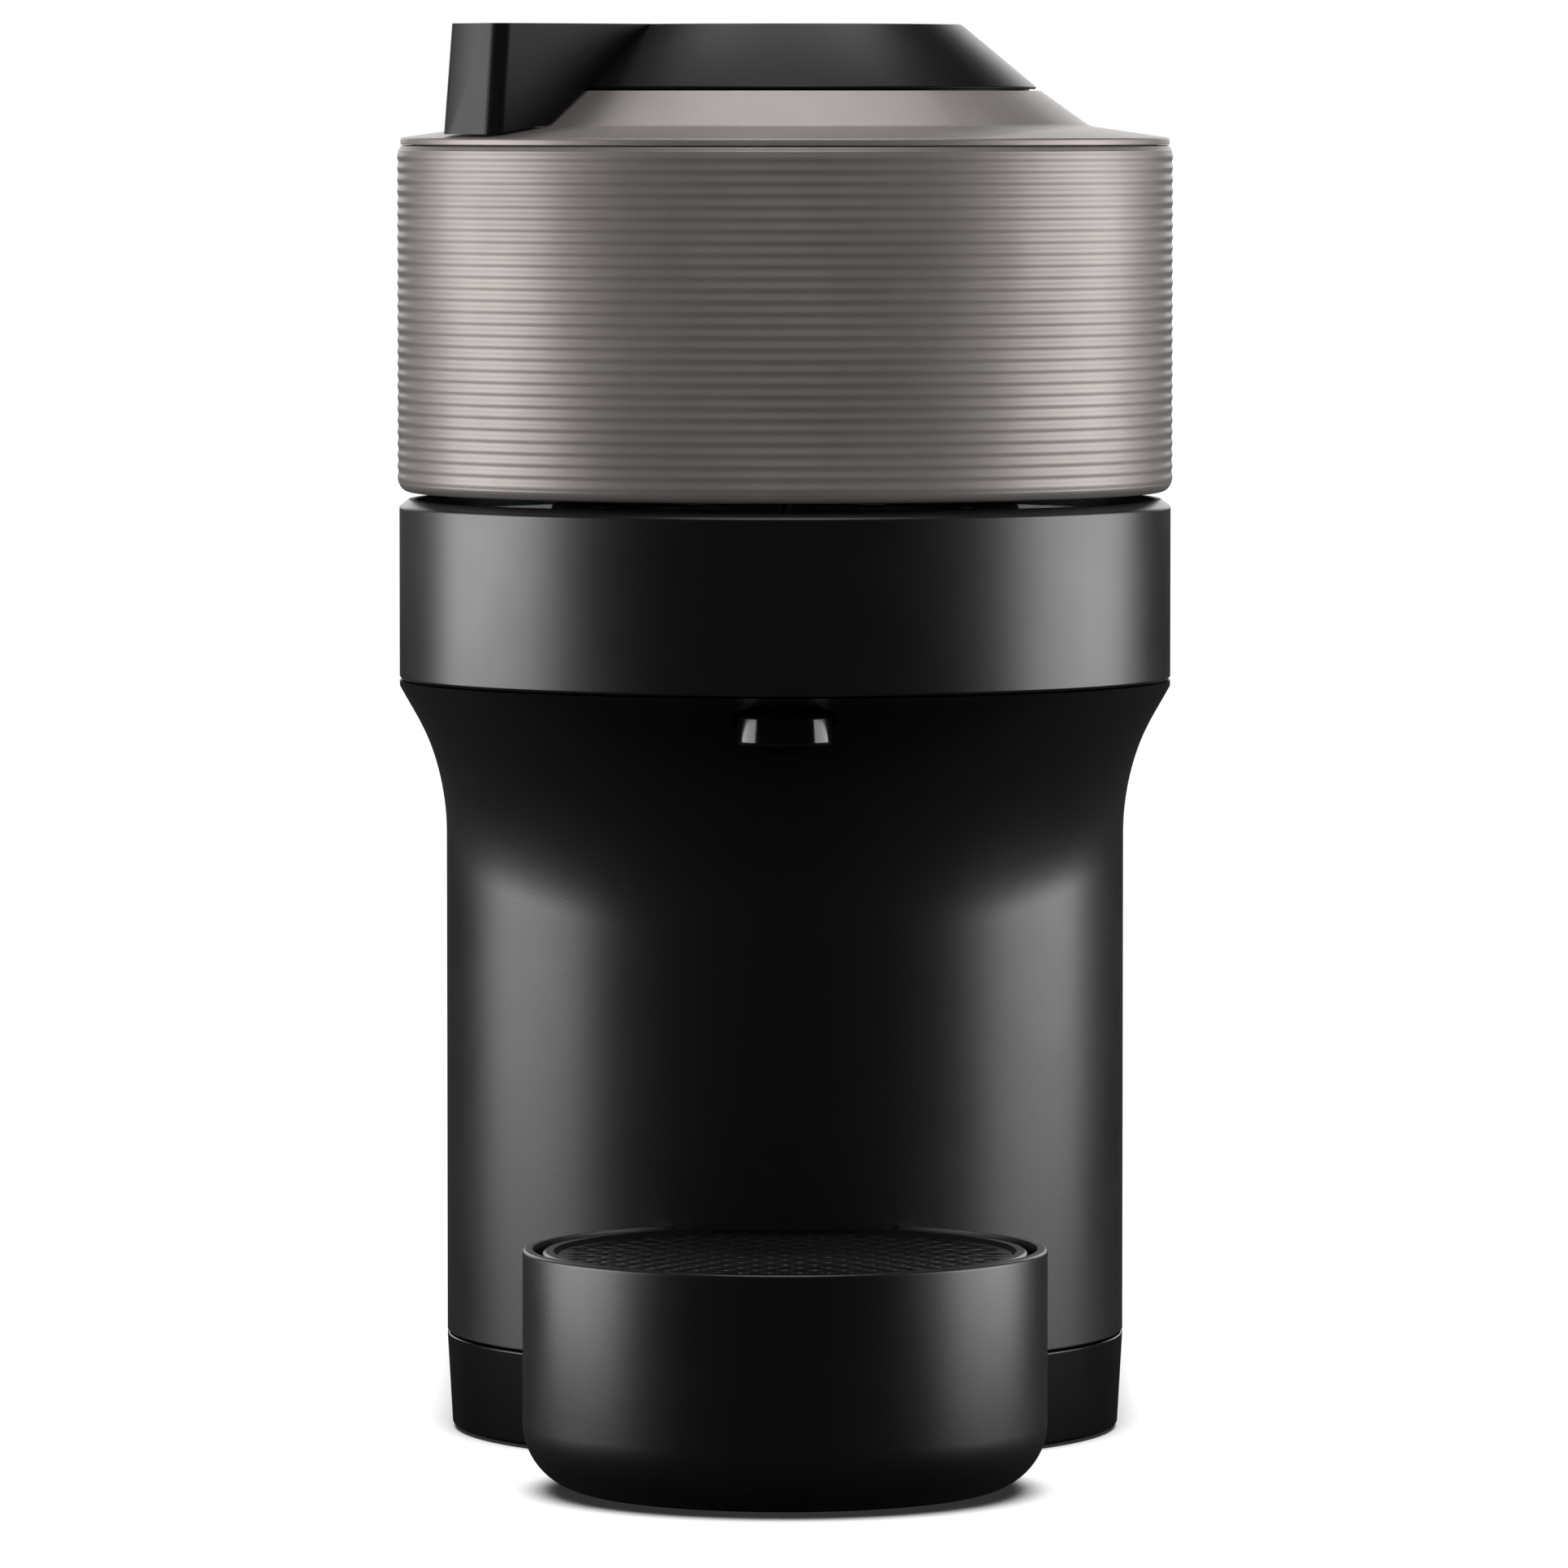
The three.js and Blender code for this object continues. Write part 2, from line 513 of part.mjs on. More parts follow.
// ---------------------------------------------------------------- fixed half of the head
function lowerHead() {
  const inner = RING_R - RING_WALL;
  piece('lower_head_ring', turned([
    [inner, RING_BOTTOM_Z], [RING_R, RING_BOTTOM_Z], [RING_R, RING_TOP_Z - 1.3], [RING_R - 1.6,
        RING_TOP_Z], [inner, RING_TOP_Z],
  ], HEAD_Y), SATIN_BLACK);

  const plateR = inner - GAP;
  const plateZ = RING_BOTTOM_Z + GAP;
  const plateTop = plateZ + 3;
  let plate = disc(plateR, plateZ, plateTop, HEAD_Y, LARGE_STEPS);
  plate = plate.subtract(disc(9, plateZ - 1, plateTop + 1, HEAD_Y));
  plate = plate.subtract(disc(6, plateZ - 1, plateTop + 1, MOTOR_Y));
  plate = plate.subtract(disc(NECK_R + GAP, plateZ - 1, plateTop + 1, SPOUT_Y));
  piece('chassis_plate', plate, GREY_PLASTIC);

  const cupZ = plateTop + 1.5;
  const beltZ = cupZ + BELT_RISE;
  piece('cup_bearing', annulus(CUP_HUB_R + GAP, CUP_HUB_R + 8, plateTop + GAP, cupZ + 2.5, HEAD_Y, 20),
      STEEL);
  const cupTop = RING_TOP_Z - CUP_LOW;
  piece('capsule_cup', turned([
    [3, cupZ], [CUP_HUB_R, cupZ], [CUP_HUB_R, beltZ - 1.5], [CUP_R + 2.5, beltZ - 1.5], [CUP_R + 2.5,
        beltZ], [CUP_R, beltZ],
    [CUP_R, cupTop - 2], [CUP_R + 0.6, cupTop], [CUP_INNER_R + 0.8, cupTop], [CUP_INNER_R, cupTop - 4],
    [23, beltZ + 4], [9, beltZ + 2.2], [3, beltZ + 2],
  ], HEAD_Y, 28), GREY_PLASTIC);

  // The gutter catches what leaves the spinning capsule's rim and drains to the spout.
  const gutterZ = beltZ + 4 + 1.5;
  const gutterIn = CUP_R + 3.5;
  const gutterOut = plateR - 3;
  const gutterTop = cupTop - 3.6;
  const wall = 1.8;
  piece('coffee_gutter', turned([
    [gutterIn, gutterZ], [gutterOut, gutterZ], [gutterOut, gutterTop], [gutterOut - wall, gutterTop],
    [gutterOut - wall, gutterZ + wall], [gutterIn + wall, gutterZ + wall], [gutterIn + wall,
        gutterTop - 3], [gutterIn, gutterTop - 3],
  ], HEAD_Y, 28).subtract(disc(SPOUT_BORE, gutterZ - 1, gutterZ + 3, SPOUT_Y, 14)), GREY_PLASTIC);
  piece('chamber_deck', annulus(CUP_R + 2.2, plateR, cupTop - 3.2, cupTop - 0.4, HEAD_Y, 32), SATIN_BLACK);
  piece('chamber_seal', annulus(CUP_R + 3, CUP_R + 6, cupTop - 0.1, cupTop + 1.3, HEAD_Y, 24), RUBBER);

  // The spout hangs from the gutter, through the plate and the flare.
  const neck = NECK_R;
  const tip = RING_BOTTOM_Z - SPOUT_DROP;
  piece('spout', turned([
    [SPOUT_BORE, tip + 1], [SPOUT_R - 3.5, tip], [SPOUT_R - 0.7, tip + 1.8], [SPOUT_R, tip + 2.5],
    [SPOUT_R - 0.4, tip + 6.4], [neck, tip + 7.8], [neck, plateTop + GAP], [SPOUT_R - 0.5, plateTop + GAP],
    [SPOUT_R - 0.5, plateTop + 2], [neck - 1.5, plateTop + 2], [neck - 1.5, gutterZ - GAP], [SPOUT_BORE,
        gutterZ - GAP],
  ], SPOUT_Y, 20), GLOSS_BLACK);

  // The motor stands behind the cup and drives it by a flat belt.
  const shaftR = 2.5;
  piece('spin_motor', disc(MOTOR_R, plateZ - MOTOR_LENGTH, plateZ - GAP, MOTOR_Y, 28)
      .add(disc(shaftR, plateZ - 5, beltZ + 5.5, MOTOR_Y)), STEEL);
  piece('motor_pulley', annulus(shaftR + GAP, MOTOR_PULLEY_R, beltZ - 1, beltZ + 5, MOTOR_Y, 24),
      GREY_PLASTIC);
  const beltOutline = (grow) => {
    const big = CUP_R + GAP + grow;
    const small = MOTOR_PULLEY_R + GAP + grow;
    const lean = THREE.MathUtils.radToDeg(Math.asin((big - small) / MOTOR_OFFSET));
    return [...arc(0, HEAD_Y, big, big, 180 - lean, 360 + lean, 18),
        ...arc(0, MOTOR_Y, small, small, lean, 180 - lean, 8)];
  };
  piece('drive_belt', raised(beltOutline(BELT_THICK), beltZ + GAP, beltZ + 4)
      .subtract(raised(beltOutline(0), beltZ - 1, beltZ + 9)), RUBBER);
  return cupTop;
}

// ---------------------------------------------------------------- hinged half of the head
const ARM = { inner: 18, outer: 26 };
const KNUCKLE_R = 5.5;

function head(cupTop) {
  const inner = HEAD_R - HEAD_WALL;
  let shell = turned([
    [inner, HEAD_BOTTOM_Z + 0.6], [HEAD_R - 2.1, HEAD_BOTTOM_Z], [HEAD_R - 0.7,
        HEAD_BOTTOM_Z + 0.4], [HEAD_R, HEAD_BOTTOM_Z + 1.5],
    [HEAD_R, HEAD_TOP_Z - 0.9], [HEAD_R - 0.7, HEAD_TOP_Z], [inner, HEAD_TOP_Z],
  ], HEAD_Y);
  const plateZ = HEAD_BOTTOM_Z + GAP;
  const plateTop = plateZ + 3;
  for (const side of [-1, 1]) {
    const xs = [side * (ARM.inner - 0.5), side * (ARM.outer + 0.5)].sort((a, b) => a - b);
    shell = shell.subtract(block(xs[0], xs[1], HEAD_Y + 30, HINGE_Y, HEAD_BOTTOM_Z - 2, HINGE_Z + 1.5));
  }
  piece('ribbed_shell', shell, TITANIUM);

  // The underplate carries the head's hinge arms.
  let plate = annulus(PIERCER_OPENING, inner - GAP, plateZ, plateTop, HEAD_Y);
  for (const side of [-1, 1]) {
    const xs = [side * ARM.inner, side * ARM.outer].sort((a, b) => a - b);
    plate = plate.add(block(xs[0], xs[1], HEAD_Y + 50, HINGE_Y, plateZ, HINGE_Z + 1))
      .add(rodX(KNUCKLE_R, xs[0], xs[1], HINGE_Y, HINGE_Z));
  }
  plate = plate.subtract(rodX(PIN_R + GAP, -FAR, FAR, HINGE_Y, HINGE_Z));
  piece('head_underplate', plate, SATIN_BLACK);

  // The piercing plate spins on its own bearing.
  const needleZ = cupTop - 0.6;
  piece('piercing_plate', turned([
    [0, needleZ - 2], [1.6, needleZ + 2], [PIERCER_OPENING - 10, plateZ - 0.6], [PIERCER_R,
        plateZ - 0.6], [PIERCER_R, plateZ + 1.8],
    [PIERCER_HUB_R, plateZ + 1.8], [PIERCER_HUB_R, plateTop + 6], [0, plateTop + 6],
  ], HEAD_Y, 20), STEEL);
  piece('plate_bearing', annulus(PIERCER_HUB_R + GAP, PIERCER_HUB_R + 6, plateTop + GAP, plateTop + 5.5,
      HEAD_Y, 20), STEEL);
  piece('bearing_carrier', annulus(PIERCER_HUB_R + 6 + GAP, PIERCER_OPENING + 8, plateTop + GAP,
      plateTop + 4, HEAD_Y, 24), GREY_PLASTIC);

  piece('top_cover', turned(coverProfile(), HEAD_Y), TITANIUM);
}

// Where the cover's upper face lies, from its rim in to the lever, or a clearance up and out from it.
function coverTop(clear = 0) {
  const blend = arc(CONE_FOOT_R + 1, CONE_FOOT_Z + CONE_RISE * 0.95, CONE_FOOT_R + 1 - CONE_TOP_R,
      CONE_RISE * 0.95, 262, 196, 3);
  return [
    [HEAD_R - 0.6, BRIM_Z - 0.7], [HEAD_R - 1.4, BRIM_Z],
    ...blend.map((p) => [p.x, p.y]), [CONE_TOP_R, CONE_TOP_Z],
  ].map(([r, z]) => [r + clear, z + clear]);
}

function coverProfile() {
  const seat = CONE_TOP_Z - 1.9;
  const bottom = HEAD_TOP_Z + GAP;
  const skirtR = HEAD_R - HEAD_WALL - GAP;
  return [
    [SHAFT_R + RUN, seat - 2.2], [CONE_TOP_R - 2, seat - 2.2], [CONE_FOOT_R - 2, bottom],
    [skirtR - 2, bottom], [skirtR - 2, bottom - 5], [skirtR, bottom - 5], [skirtR, bottom],
    [HEAD_R - 0.6, bottom],
    ...coverTop(), [CONE_TOP_R - 0.8, CONE_TOP_Z], [CONE_TOP_R - 0.8, seat], [SHAFT_R + RUN, seat],
  ];
}

// ---------------------------------------------------------------- lock lever
function lever() {
  const skin = 2.6;
  const pocketZ = TOP_Z - 6;
  const lampIn = BUTTON_R + 1.6;
  const lampOut = lampIn + LAMP_WIDTH;
  let turret = turned([
    [SHAFT_R + 3, TURRET_Z + 1], [SHAFT_R + 3, pocketZ - 2], [TURRET_TOP_R - 2,
        pocketZ - 2], [TURRET_R - skin * 1.6, TURRET_Z],
    [TURRET_R, TURRET_Z], [TURRET_TOP_R, TOP_Z], [lampOut + GAP, TOP_Z], [lampOut + GAP,
        TOP_Z - 2], [lampIn - GAP, TOP_Z - 2],
    [lampIn - GAP, TOP_Z], [BUTTON_R + 0.5, TOP_Z], [BUTTON_R + 0.5, pocketZ], [0, pocketZ], [0,
        TURRET_Z + 1],
  ].filter(([r]) => r > 0).concat([[4, pocketZ], [4, TURRET_Z + 1]]), HEAD_Y);
  const direction = (degrees, r) => new THREE.Vector2(
    -r * Math.cos(radians(degrees)), HEAD_Y - r * Math.sin(radians(degrees)));
  // The handle is a wedge that widens outwards, with round corners at its end.
  const inset = THREE.MathUtils.radToDeg(HANDLE_CORNER / (HANDLE_R - HANDLE_CORNER));
  const nearBack = direction(HANDLE_FROM + inset, HANDLE_R - HANDLE_CORNER);
  const nearFront = direction(HANDLE_TO - inset, HANDLE_R - HANDLE_CORNER);
  const outline = [
    direction(HANDLE_TO, TURRET_TOP_R - 6), direction(HANDLE_FROM, TURRET_TOP_R - 6),
    ...arc(nearBack.x, nearBack.y, HANDLE_CORNER, HANDLE_CORNER, 90 + HANDLE_FROM, 180 + HANDLE_FROM, 5),
    ...arc(nearFront.x, nearFront.y, HANDLE_CORNER, HANDLE_CORNER, 180 + HANDLE_TO, 270 + HANDLE_TO, 5),
  ];
  const under = turned([[0, BRIM_Z - 20], [HEAD_R + 20, BRIM_Z - 20],
      [HEAD_R + 20, BRIM_Z - 0.8 + HANDLE_CLEAR], ...coverTop(HANDLE_CLEAR),
    [TURRET_R - skin, TURRET_Z], [TURRET_TOP_R - 2, pocketZ - 2], [0, pocketZ - 2]], HEAD_Y);
  const fin = raised(outline, BRIM_Z - 3, TOP_Z).subtract(under);
  turret = turret.add(fin);
  piece('lever_turret', turret, LEVER_BLACK);
  piece('light_ring', annulus(lampIn, lampOut, TOP_Z - 2 + GAP, TOP_Z - 0.1, HEAD_Y, 28), LAMP);

  const ringZ = HEAD_BOTTOM_Z + LOCK_RISE;
  piece('lever_shaft', annulus(4 + GAP, SHAFT_R, ringZ + 6 + GAP, TURRET_Z + 1 - GAP, HEAD_Y, 24),
      GREY_PLASTIC);
  let lock = annulus(HEAD_R - 22, HEAD_R - 8, ringZ, ringZ + 5, HEAD_Y, 28)
      .add(annulus(4 + GAP, SHAFT_R + 6, ringZ, ringZ + 6, HEAD_Y, 24));
  for (const turn of [0, 120, 240]) {
    const spoke = block(SHAFT_R + 2, HEAD_R - 15, -5, 5, ringZ, ringZ + 4).rotate([0, 0, turn + 30])
        .translate([0, HEAD_Y, 0]);
    lock = lock.add(spoke);
  }
  piece('lock_ring', lock, GREY_PLASTIC);

  const buttonZ = pocketZ + BUTTON_TRAVEL + 0.9;
  piece('brew_button', turned([
    [0, buttonZ], [BUTTON_R - 0.2, buttonZ], [BUTTON_R, TOP_Z - 0.9], [BUTTON_R - 0.8,
        TOP_Z - 0.1], [BUTTON_R - 4, TOP_Z - 0.5], [0, TOP_Z - 0.9],
  ], HEAD_Y, 28), GLOSS_BLACK);
}

// ---------------------------------------------------------------- head hinge
function hinge() {
  const earIn = ARM.outer + RUN;
  const earOut = earIn + 6.5;
  const plateZ = DECK_Z + GAP;
  const plateFront = HINGE_Y + KNUCKLE_R + 1;
  let bracket = block(-earOut, earOut, plateFront, plateFront + 12, plateZ, plateZ + 3);
  for (const side of [-1, 1]) {
    const xs = [side * earIn, side * earOut].sort((a, b) => a - b);
    bracket = bracket.add(block(xs[0], xs[1], HINGE_Y, plateFront + 12, plateZ, HINGE_Z))
      .add(rodX(KNUCKLE_R, xs[0], xs[1], HINGE_Y, HINGE_Z));
  }
  bracket = bracket.subtract(rodX(PIN_R + GAP, -FAR, FAR, HINGE_Y, HINGE_Z));
  for (const x of [-12, 12]) bracket = bracket.subtract(disc(2, plateZ - 1, plateZ + 5, plateFront + 6,
      12, x));
  piece('hinge_bracket', bracket, SATIN_BLACK);
  piece('hinge_pin', rodX(PIN_R, -earOut - 1, earOut + 1, HINGE_Y, HINGE_Z), STEEL);
  for (const [name, x] of [['hinge_screw_left', -12], ['hinge_screw_right', 12]]) {
    piece(name, turned([[0, plateZ + 0.4], [1.6, plateZ + 0.4], [1.6, plateZ + 3 + GAP],
        [3.4, plateZ + 3 + GAP],
      [3.4, plateZ + 4.8], [0, plateZ + 5]], plateFront + 6, 12, x), STEEL);
  }
}

// ---------------------------------------------------------------- drip tray
function tray() {
  const column = (grow) => raised(bodyOutline(-grow), -5, TRAY_TOP_Z + 20);
  const fillet = arc(TRAY_R - TRAY_FILLET, TRAY_BOTTOM_Z + TRAY_FILLET, TRAY_FILLET, TRAY_FILLET, 270,
      360, 5);
  const drum = turned([[0, TRAY_BOTTOM_Z], ...fillet.map((p) => [p.x, p.y]), [TRAY_R, TRAY_TOP_Z - 0.5],
    [TRAY_R - 0.5, TRAY_TOP_Z], [0, TRAY_TOP_Z]], TRAY_Y);
  const inR = TRAY_R - TRAY_WALL;
  const lowR = inR - TRAY_LEDGE;
  const floor = TRAY_BOTTOM_Z + 3;
  const ledge = TRAY_TOP_Z - GRID_THICK - 0.7;
  const bowl = arc(lowR - 10, floor + 10, 10, 10, 270, 360, 3);
  const hollow = turned([[0, floor], ...bowl.map((p) => [p.x, p.y]), [lowR, ledge], [0, ledge]], TRAY_Y)
      .subtract(column(RUN + TRAY_WALL + 2));
  const mouth = disc(inR, ledge - 0.1, TRAY_TOP_Z + 5, TRAY_Y, LARGE_STEPS)
      .subtract(column(RUN + TRAY_WALL - 1));
  piece('drip_tray', drum.subtract(column(RUN)).subtract(hollow).subtract(mouth), SATIN_BLACK);

  const clear = 0.5;
  let grid = disc(inR - clear, ledge + GAP, ledge + GAP + GRID_THICK, TRAY_Y, LARGE_STEPS)
      .subtract(column(RUN + TRAY_WALL - 1 + clear));
  const holes = [[12, 6], [27, 12]];
  for (const [radius, count] of holes) {
    for (let i = 0; i < count; i += 1) {
      const angle = (2 * Math.PI * i) / count;
      const x = radius * Math.cos(angle);
      const y = radius * Math.sin(angle);
      if (TRAY_Y + y > COLUMN_Y - COLUMN_BULGE - 8) continue;
      grid = grid.subtract(disc(2.2, ledge - 1, TRAY_TOP_Z + 2, TRAY_Y + y, 6, x));
    }
  }
  piece('drip_grid', grid, SATIN_BLACK);
}

// ---------------------------------------------------------------- water tank
const LUG = { inner: 40, outer: 46 };

function tankOutline(inset = 0) {
  const half = TANK_HALF_WIDTH - inset;
  const corner = Math.max(TANK_CORNER - inset, 1.5);
  const front = TANK_FRONT_Y + inset;
  return [
    ...arc(0, BACK_Y - TANK_BOW, half, TANK_BOW - inset, 0, 180, 18),
    ...arc(-half + corner, front + corner, corner, corner, 180, 270, 3),
    ...arc(half - corner, front + corner, corner, corner, 270, 360, 3),
  ];
}

function tank(valveY) {
  const bottom = SEAM_Z + 3;
  const pivotY = TANK_FRONT_Y + 5;
  const pivotZ = TANK_TOP_Z + 5;
  let vessel = raised(tankOutline(), bottom, TANK_TOP_Z)
    .subtract(raised(tankOutline(TANK_WALL), bottom + FLOOR_THICK, TANK_TOP_Z + 9));
  for (const side of [-1, 1]) {
    const xs = [side * LUG.inner, side * LUG.outer].sort((a, b) => a - b);
    vessel = vessel.add(block(xs[0], xs[1], TANK_FRONT_Y + 0.6, pivotY + 3, TANK_TOP_Z - 8, pivotZ + 2.6));
  }
  vessel = vessel.subtract(rodX(LID_PEG_R + 0.4, -FAR, FAR, pivotY, pivotZ, 12));
  vessel = vessel.subtract(disc(VALVE_R + GAP, bottom - 1, bottom + 4, valveY, 24));
  piece('water_tank', vessel, SMOKED);
  piece('tank_valve', turned([[0, bottom - 1.8], [VALVE_NECK_R, bottom - 1.8], [VALVE_NECK_R, bottom],
      [VALVE_R, bottom], [VALVE_R, bottom + 3], [6, bottom + 6], [0, bottom + 6]],
    valveY, 24), NATURAL_PLASTIC);
  piece('valve_seat', annulus(VALVE_NECK_R + RUN, 13, SEAM_Z + GAP, bottom - GAP, valveY, 24), RUBBER);

  const lidZ = TANK_TOP_Z + 2.3;
  const cutFront = TANK_FRONT_Y + 1.8;
  let lid = loft([tankOutline(0).map((p) => vec(p.x, p.y, lidZ)), tankOutline(0)
      .map((p) => vec(p.x, p.y, lidZ + LID_THICK - 1.5)),
    tankOutline(1.5).map((p) => vec(p.x, p.y, lidZ + LID_THICK))]);
  const skirt = TANK_WALL + RUN;
  lid = lid.add(raised(tankOutline(skirt), lidZ - 4, lidZ + 1)
    .subtract(raised(tankOutline(skirt + 1.8), lidZ - 9, lidZ))
        .subtract(block(-FAR, FAR, FRONT_Y, pivotY + 4.5, lidZ - 9, lidZ)));
  lid = lid.subtract(block(-FAR, FAR, TANK_FRONT_Y - 5, cutFront, lidZ - 9, lidZ + 20));
  for (const side of [-1, 1]) {
    const xs = [side * (LUG.inner - 0.7), side * (LUG.outer + 0.7)].sort((a, b) => a - b);
    lid = lid.subtract(block(xs[0], xs[1], TANK_FRONT_Y - 5, pivotY + 6, lidZ - 9, lidZ + 20));
    lid = lid.add(rodX(LID_PEG_R, Math.min(side * (LUG.inner - 3), side * (LUG.outer + 3)),
        Math.max(side * (LUG.inner - 3), side * (LUG.outer + 3)),
      pivotY, pivotZ, 12));
  }
  piece('tank_lid', lid, SATIN_BLACK);
}

// ---------------------------------------------------------------- water path and electrics
function inside(floor, valveY) {
  const pumpY = [BIN_FRONT_Y + 12, BIN_BACK_Y - 8];
  const pumpZ = floor + PUMP_RISE;
  piece('pump', rodY(PUMP_R, pumpY[0], pumpY[0] + 46, PUMP_X, pumpZ, 24)
      .add(rodY(7, pumpY[0] - 10, pumpY[1], PUMP_X, pumpZ, 16)), GREY_PLASTIC);
  piece('pump_cradle', block(-40, -4, pumpY[0] + 10, pumpY[0] + 34, floor + GAP, floor + 18)
    .subtract(rodY(PUMP_R + GAP, pumpY[0], pumpY[0] + 50, PUMP_X, pumpZ, 24)), RUBBER);
  const heaterY = COLUMN_Y - 28;
  piece('heater_block', block(-26, 26, heaterY - 16, heaterY + 16, floor + 20, floor + 70), STEEL);
  piece('heater_stand', block(PUMP_X, 22, heaterY - 12, heaterY + 12, floor + GAP, floor + 20 - GAP),
      GREY_PLASTIC);
  piece('control_board', block(BOARD_X, BOARD_X + BOARD_THICK, COLUMN_Y + 1, COLUMN_Y + 71, floor + 15, floor + 85),
      BOARD_GREEN);
  piece('flow_meter', disc(11, floor + GAP, floor + 16, BODY_BACK_Y - 22, 20, 22), NATURAL_PLASTIC);

  piece('suction_hose', tube([vec(0, valveY, GLAND_Z), vec(0, valveY - 12, GLAND_Z),
      vec(0, BODY_BACK_Y + 2, GLAND_Z), vec(0, BODY_BACK_Y - 8, 10.6),
    vec(-8, BODY_BACK_Y - 16, 22), vec(-20, BODY_BACK_Y - 18, pumpZ - 6), vec(PUMP_X, pumpY[1] + 5,
        pumpZ), vec(PUMP_X, pumpY[1] + GAP, pumpZ)],
    HOSE_R, 18), NATURAL_PLASTIC);
  piece('feed_hose', tube([vec(PUMP_X, pumpY[0] - 10 - GAP, pumpZ), vec(PUMP_X, pumpY[0] - 20, pumpZ),
      vec(-14, heaterY + 50, floor + 40),
    vec(-6, heaterY + 26, floor + 42), vec(-6, heaterY + 16 + GAP,
        floor + 42)], HOSE_R, 12), NATURAL_PLASTIC);
}

const { valveY, floor } = base();
body();
deck();
bin();
head(lowerHead());
lever();
hinge();
tray();
tank(valveY);
inside(floor, valveY);

export default root;
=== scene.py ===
"""Looks of a pod coffee machine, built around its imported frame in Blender 4.5.

Lengths are in millimetres up to the moment a mesh is made, where MM turns them into metres.
Every place comes from the frame's own boxes; the class fields hold the sizes of the details.
"""

from __future__ import annotations

import json
import logging
import math
from dataclasses import dataclass, field
from enum import Enum
from typing import Sequence

import bmesh
import bpy
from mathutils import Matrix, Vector

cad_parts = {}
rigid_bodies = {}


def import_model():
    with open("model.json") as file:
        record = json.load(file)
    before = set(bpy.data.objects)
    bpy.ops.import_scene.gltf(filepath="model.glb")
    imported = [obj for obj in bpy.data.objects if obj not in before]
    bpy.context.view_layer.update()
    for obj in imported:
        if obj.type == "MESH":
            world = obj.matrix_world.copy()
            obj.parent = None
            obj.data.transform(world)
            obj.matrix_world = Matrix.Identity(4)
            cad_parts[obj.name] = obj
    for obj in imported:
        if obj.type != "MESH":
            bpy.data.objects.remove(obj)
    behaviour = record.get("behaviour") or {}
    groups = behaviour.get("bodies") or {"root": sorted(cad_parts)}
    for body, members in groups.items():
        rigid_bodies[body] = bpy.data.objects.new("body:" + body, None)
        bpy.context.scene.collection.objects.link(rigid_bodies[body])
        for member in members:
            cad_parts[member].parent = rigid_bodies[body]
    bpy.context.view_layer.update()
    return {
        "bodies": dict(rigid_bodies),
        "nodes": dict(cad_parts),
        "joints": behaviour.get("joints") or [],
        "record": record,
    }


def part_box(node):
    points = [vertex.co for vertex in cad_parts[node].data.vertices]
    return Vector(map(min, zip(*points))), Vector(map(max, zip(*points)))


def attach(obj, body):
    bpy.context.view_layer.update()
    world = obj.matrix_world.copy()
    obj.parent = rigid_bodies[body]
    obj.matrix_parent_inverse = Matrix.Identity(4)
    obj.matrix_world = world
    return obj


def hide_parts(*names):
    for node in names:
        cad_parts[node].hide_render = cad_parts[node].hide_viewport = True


LOG = logging.getLogger("coffee_machine")
MM = 0.001

# Noise keeps mostly between these two values, its 30th and 70th percentiles.
NOISE_REACH = (0.3, 0.7)
# Wave texture scale for one ring per unit of length.
RINGS_PER_SCALE = 0.314

Pair = tuple[float, float]
Outline = list[Pair]
Socket = bpy.types.NodeSocket


# ---------------------------------------------------------------- colour and nodes


def linear(hex_code: str) -> tuple[float, float, float, float]:
    """Turns an sRGB hex colour into linear RGBA.

    Args:
        hex_code: Six hex digits after a '#'.

    Returns:
        The linear colour with an alpha of 1.
    """
    parts = [int(hex_code[i : i + 2], 16) / 255 for i in (1, 3, 5)]
    turned = [c / 12.92 if c <= 0.04045 else ((c + 0.055) / 1.055) ** 2.4 for c in parts]
    return (turned[0], turned[1], turned[2], 1.0)


def add_node(
    tree: bpy.types.NodeTree, kind: str, inputs: dict | None = None, **settings: object
) -> bpy.types.Node:
    """Adds one node with its settings, input values and links.

    Args:
        tree: The node tree to add to.
        kind: The node's type name.
        inputs: A value, or another node's output socket, for each named or numbered input.
        **settings: Properties of the node itself.

    Returns:
        The new node.
    """
    node = tree.nodes.new(kind)
    for name, value in settings.items():
        setattr(node, name, value)
    for key, value in (inputs or {}).items():
        if isinstance(value, Socket):
            tree.links.new(value, node.inputs[key])
        else:
            node.inputs[key].default_value = value
    return node


# ---------------------------------------------------------------- finishes


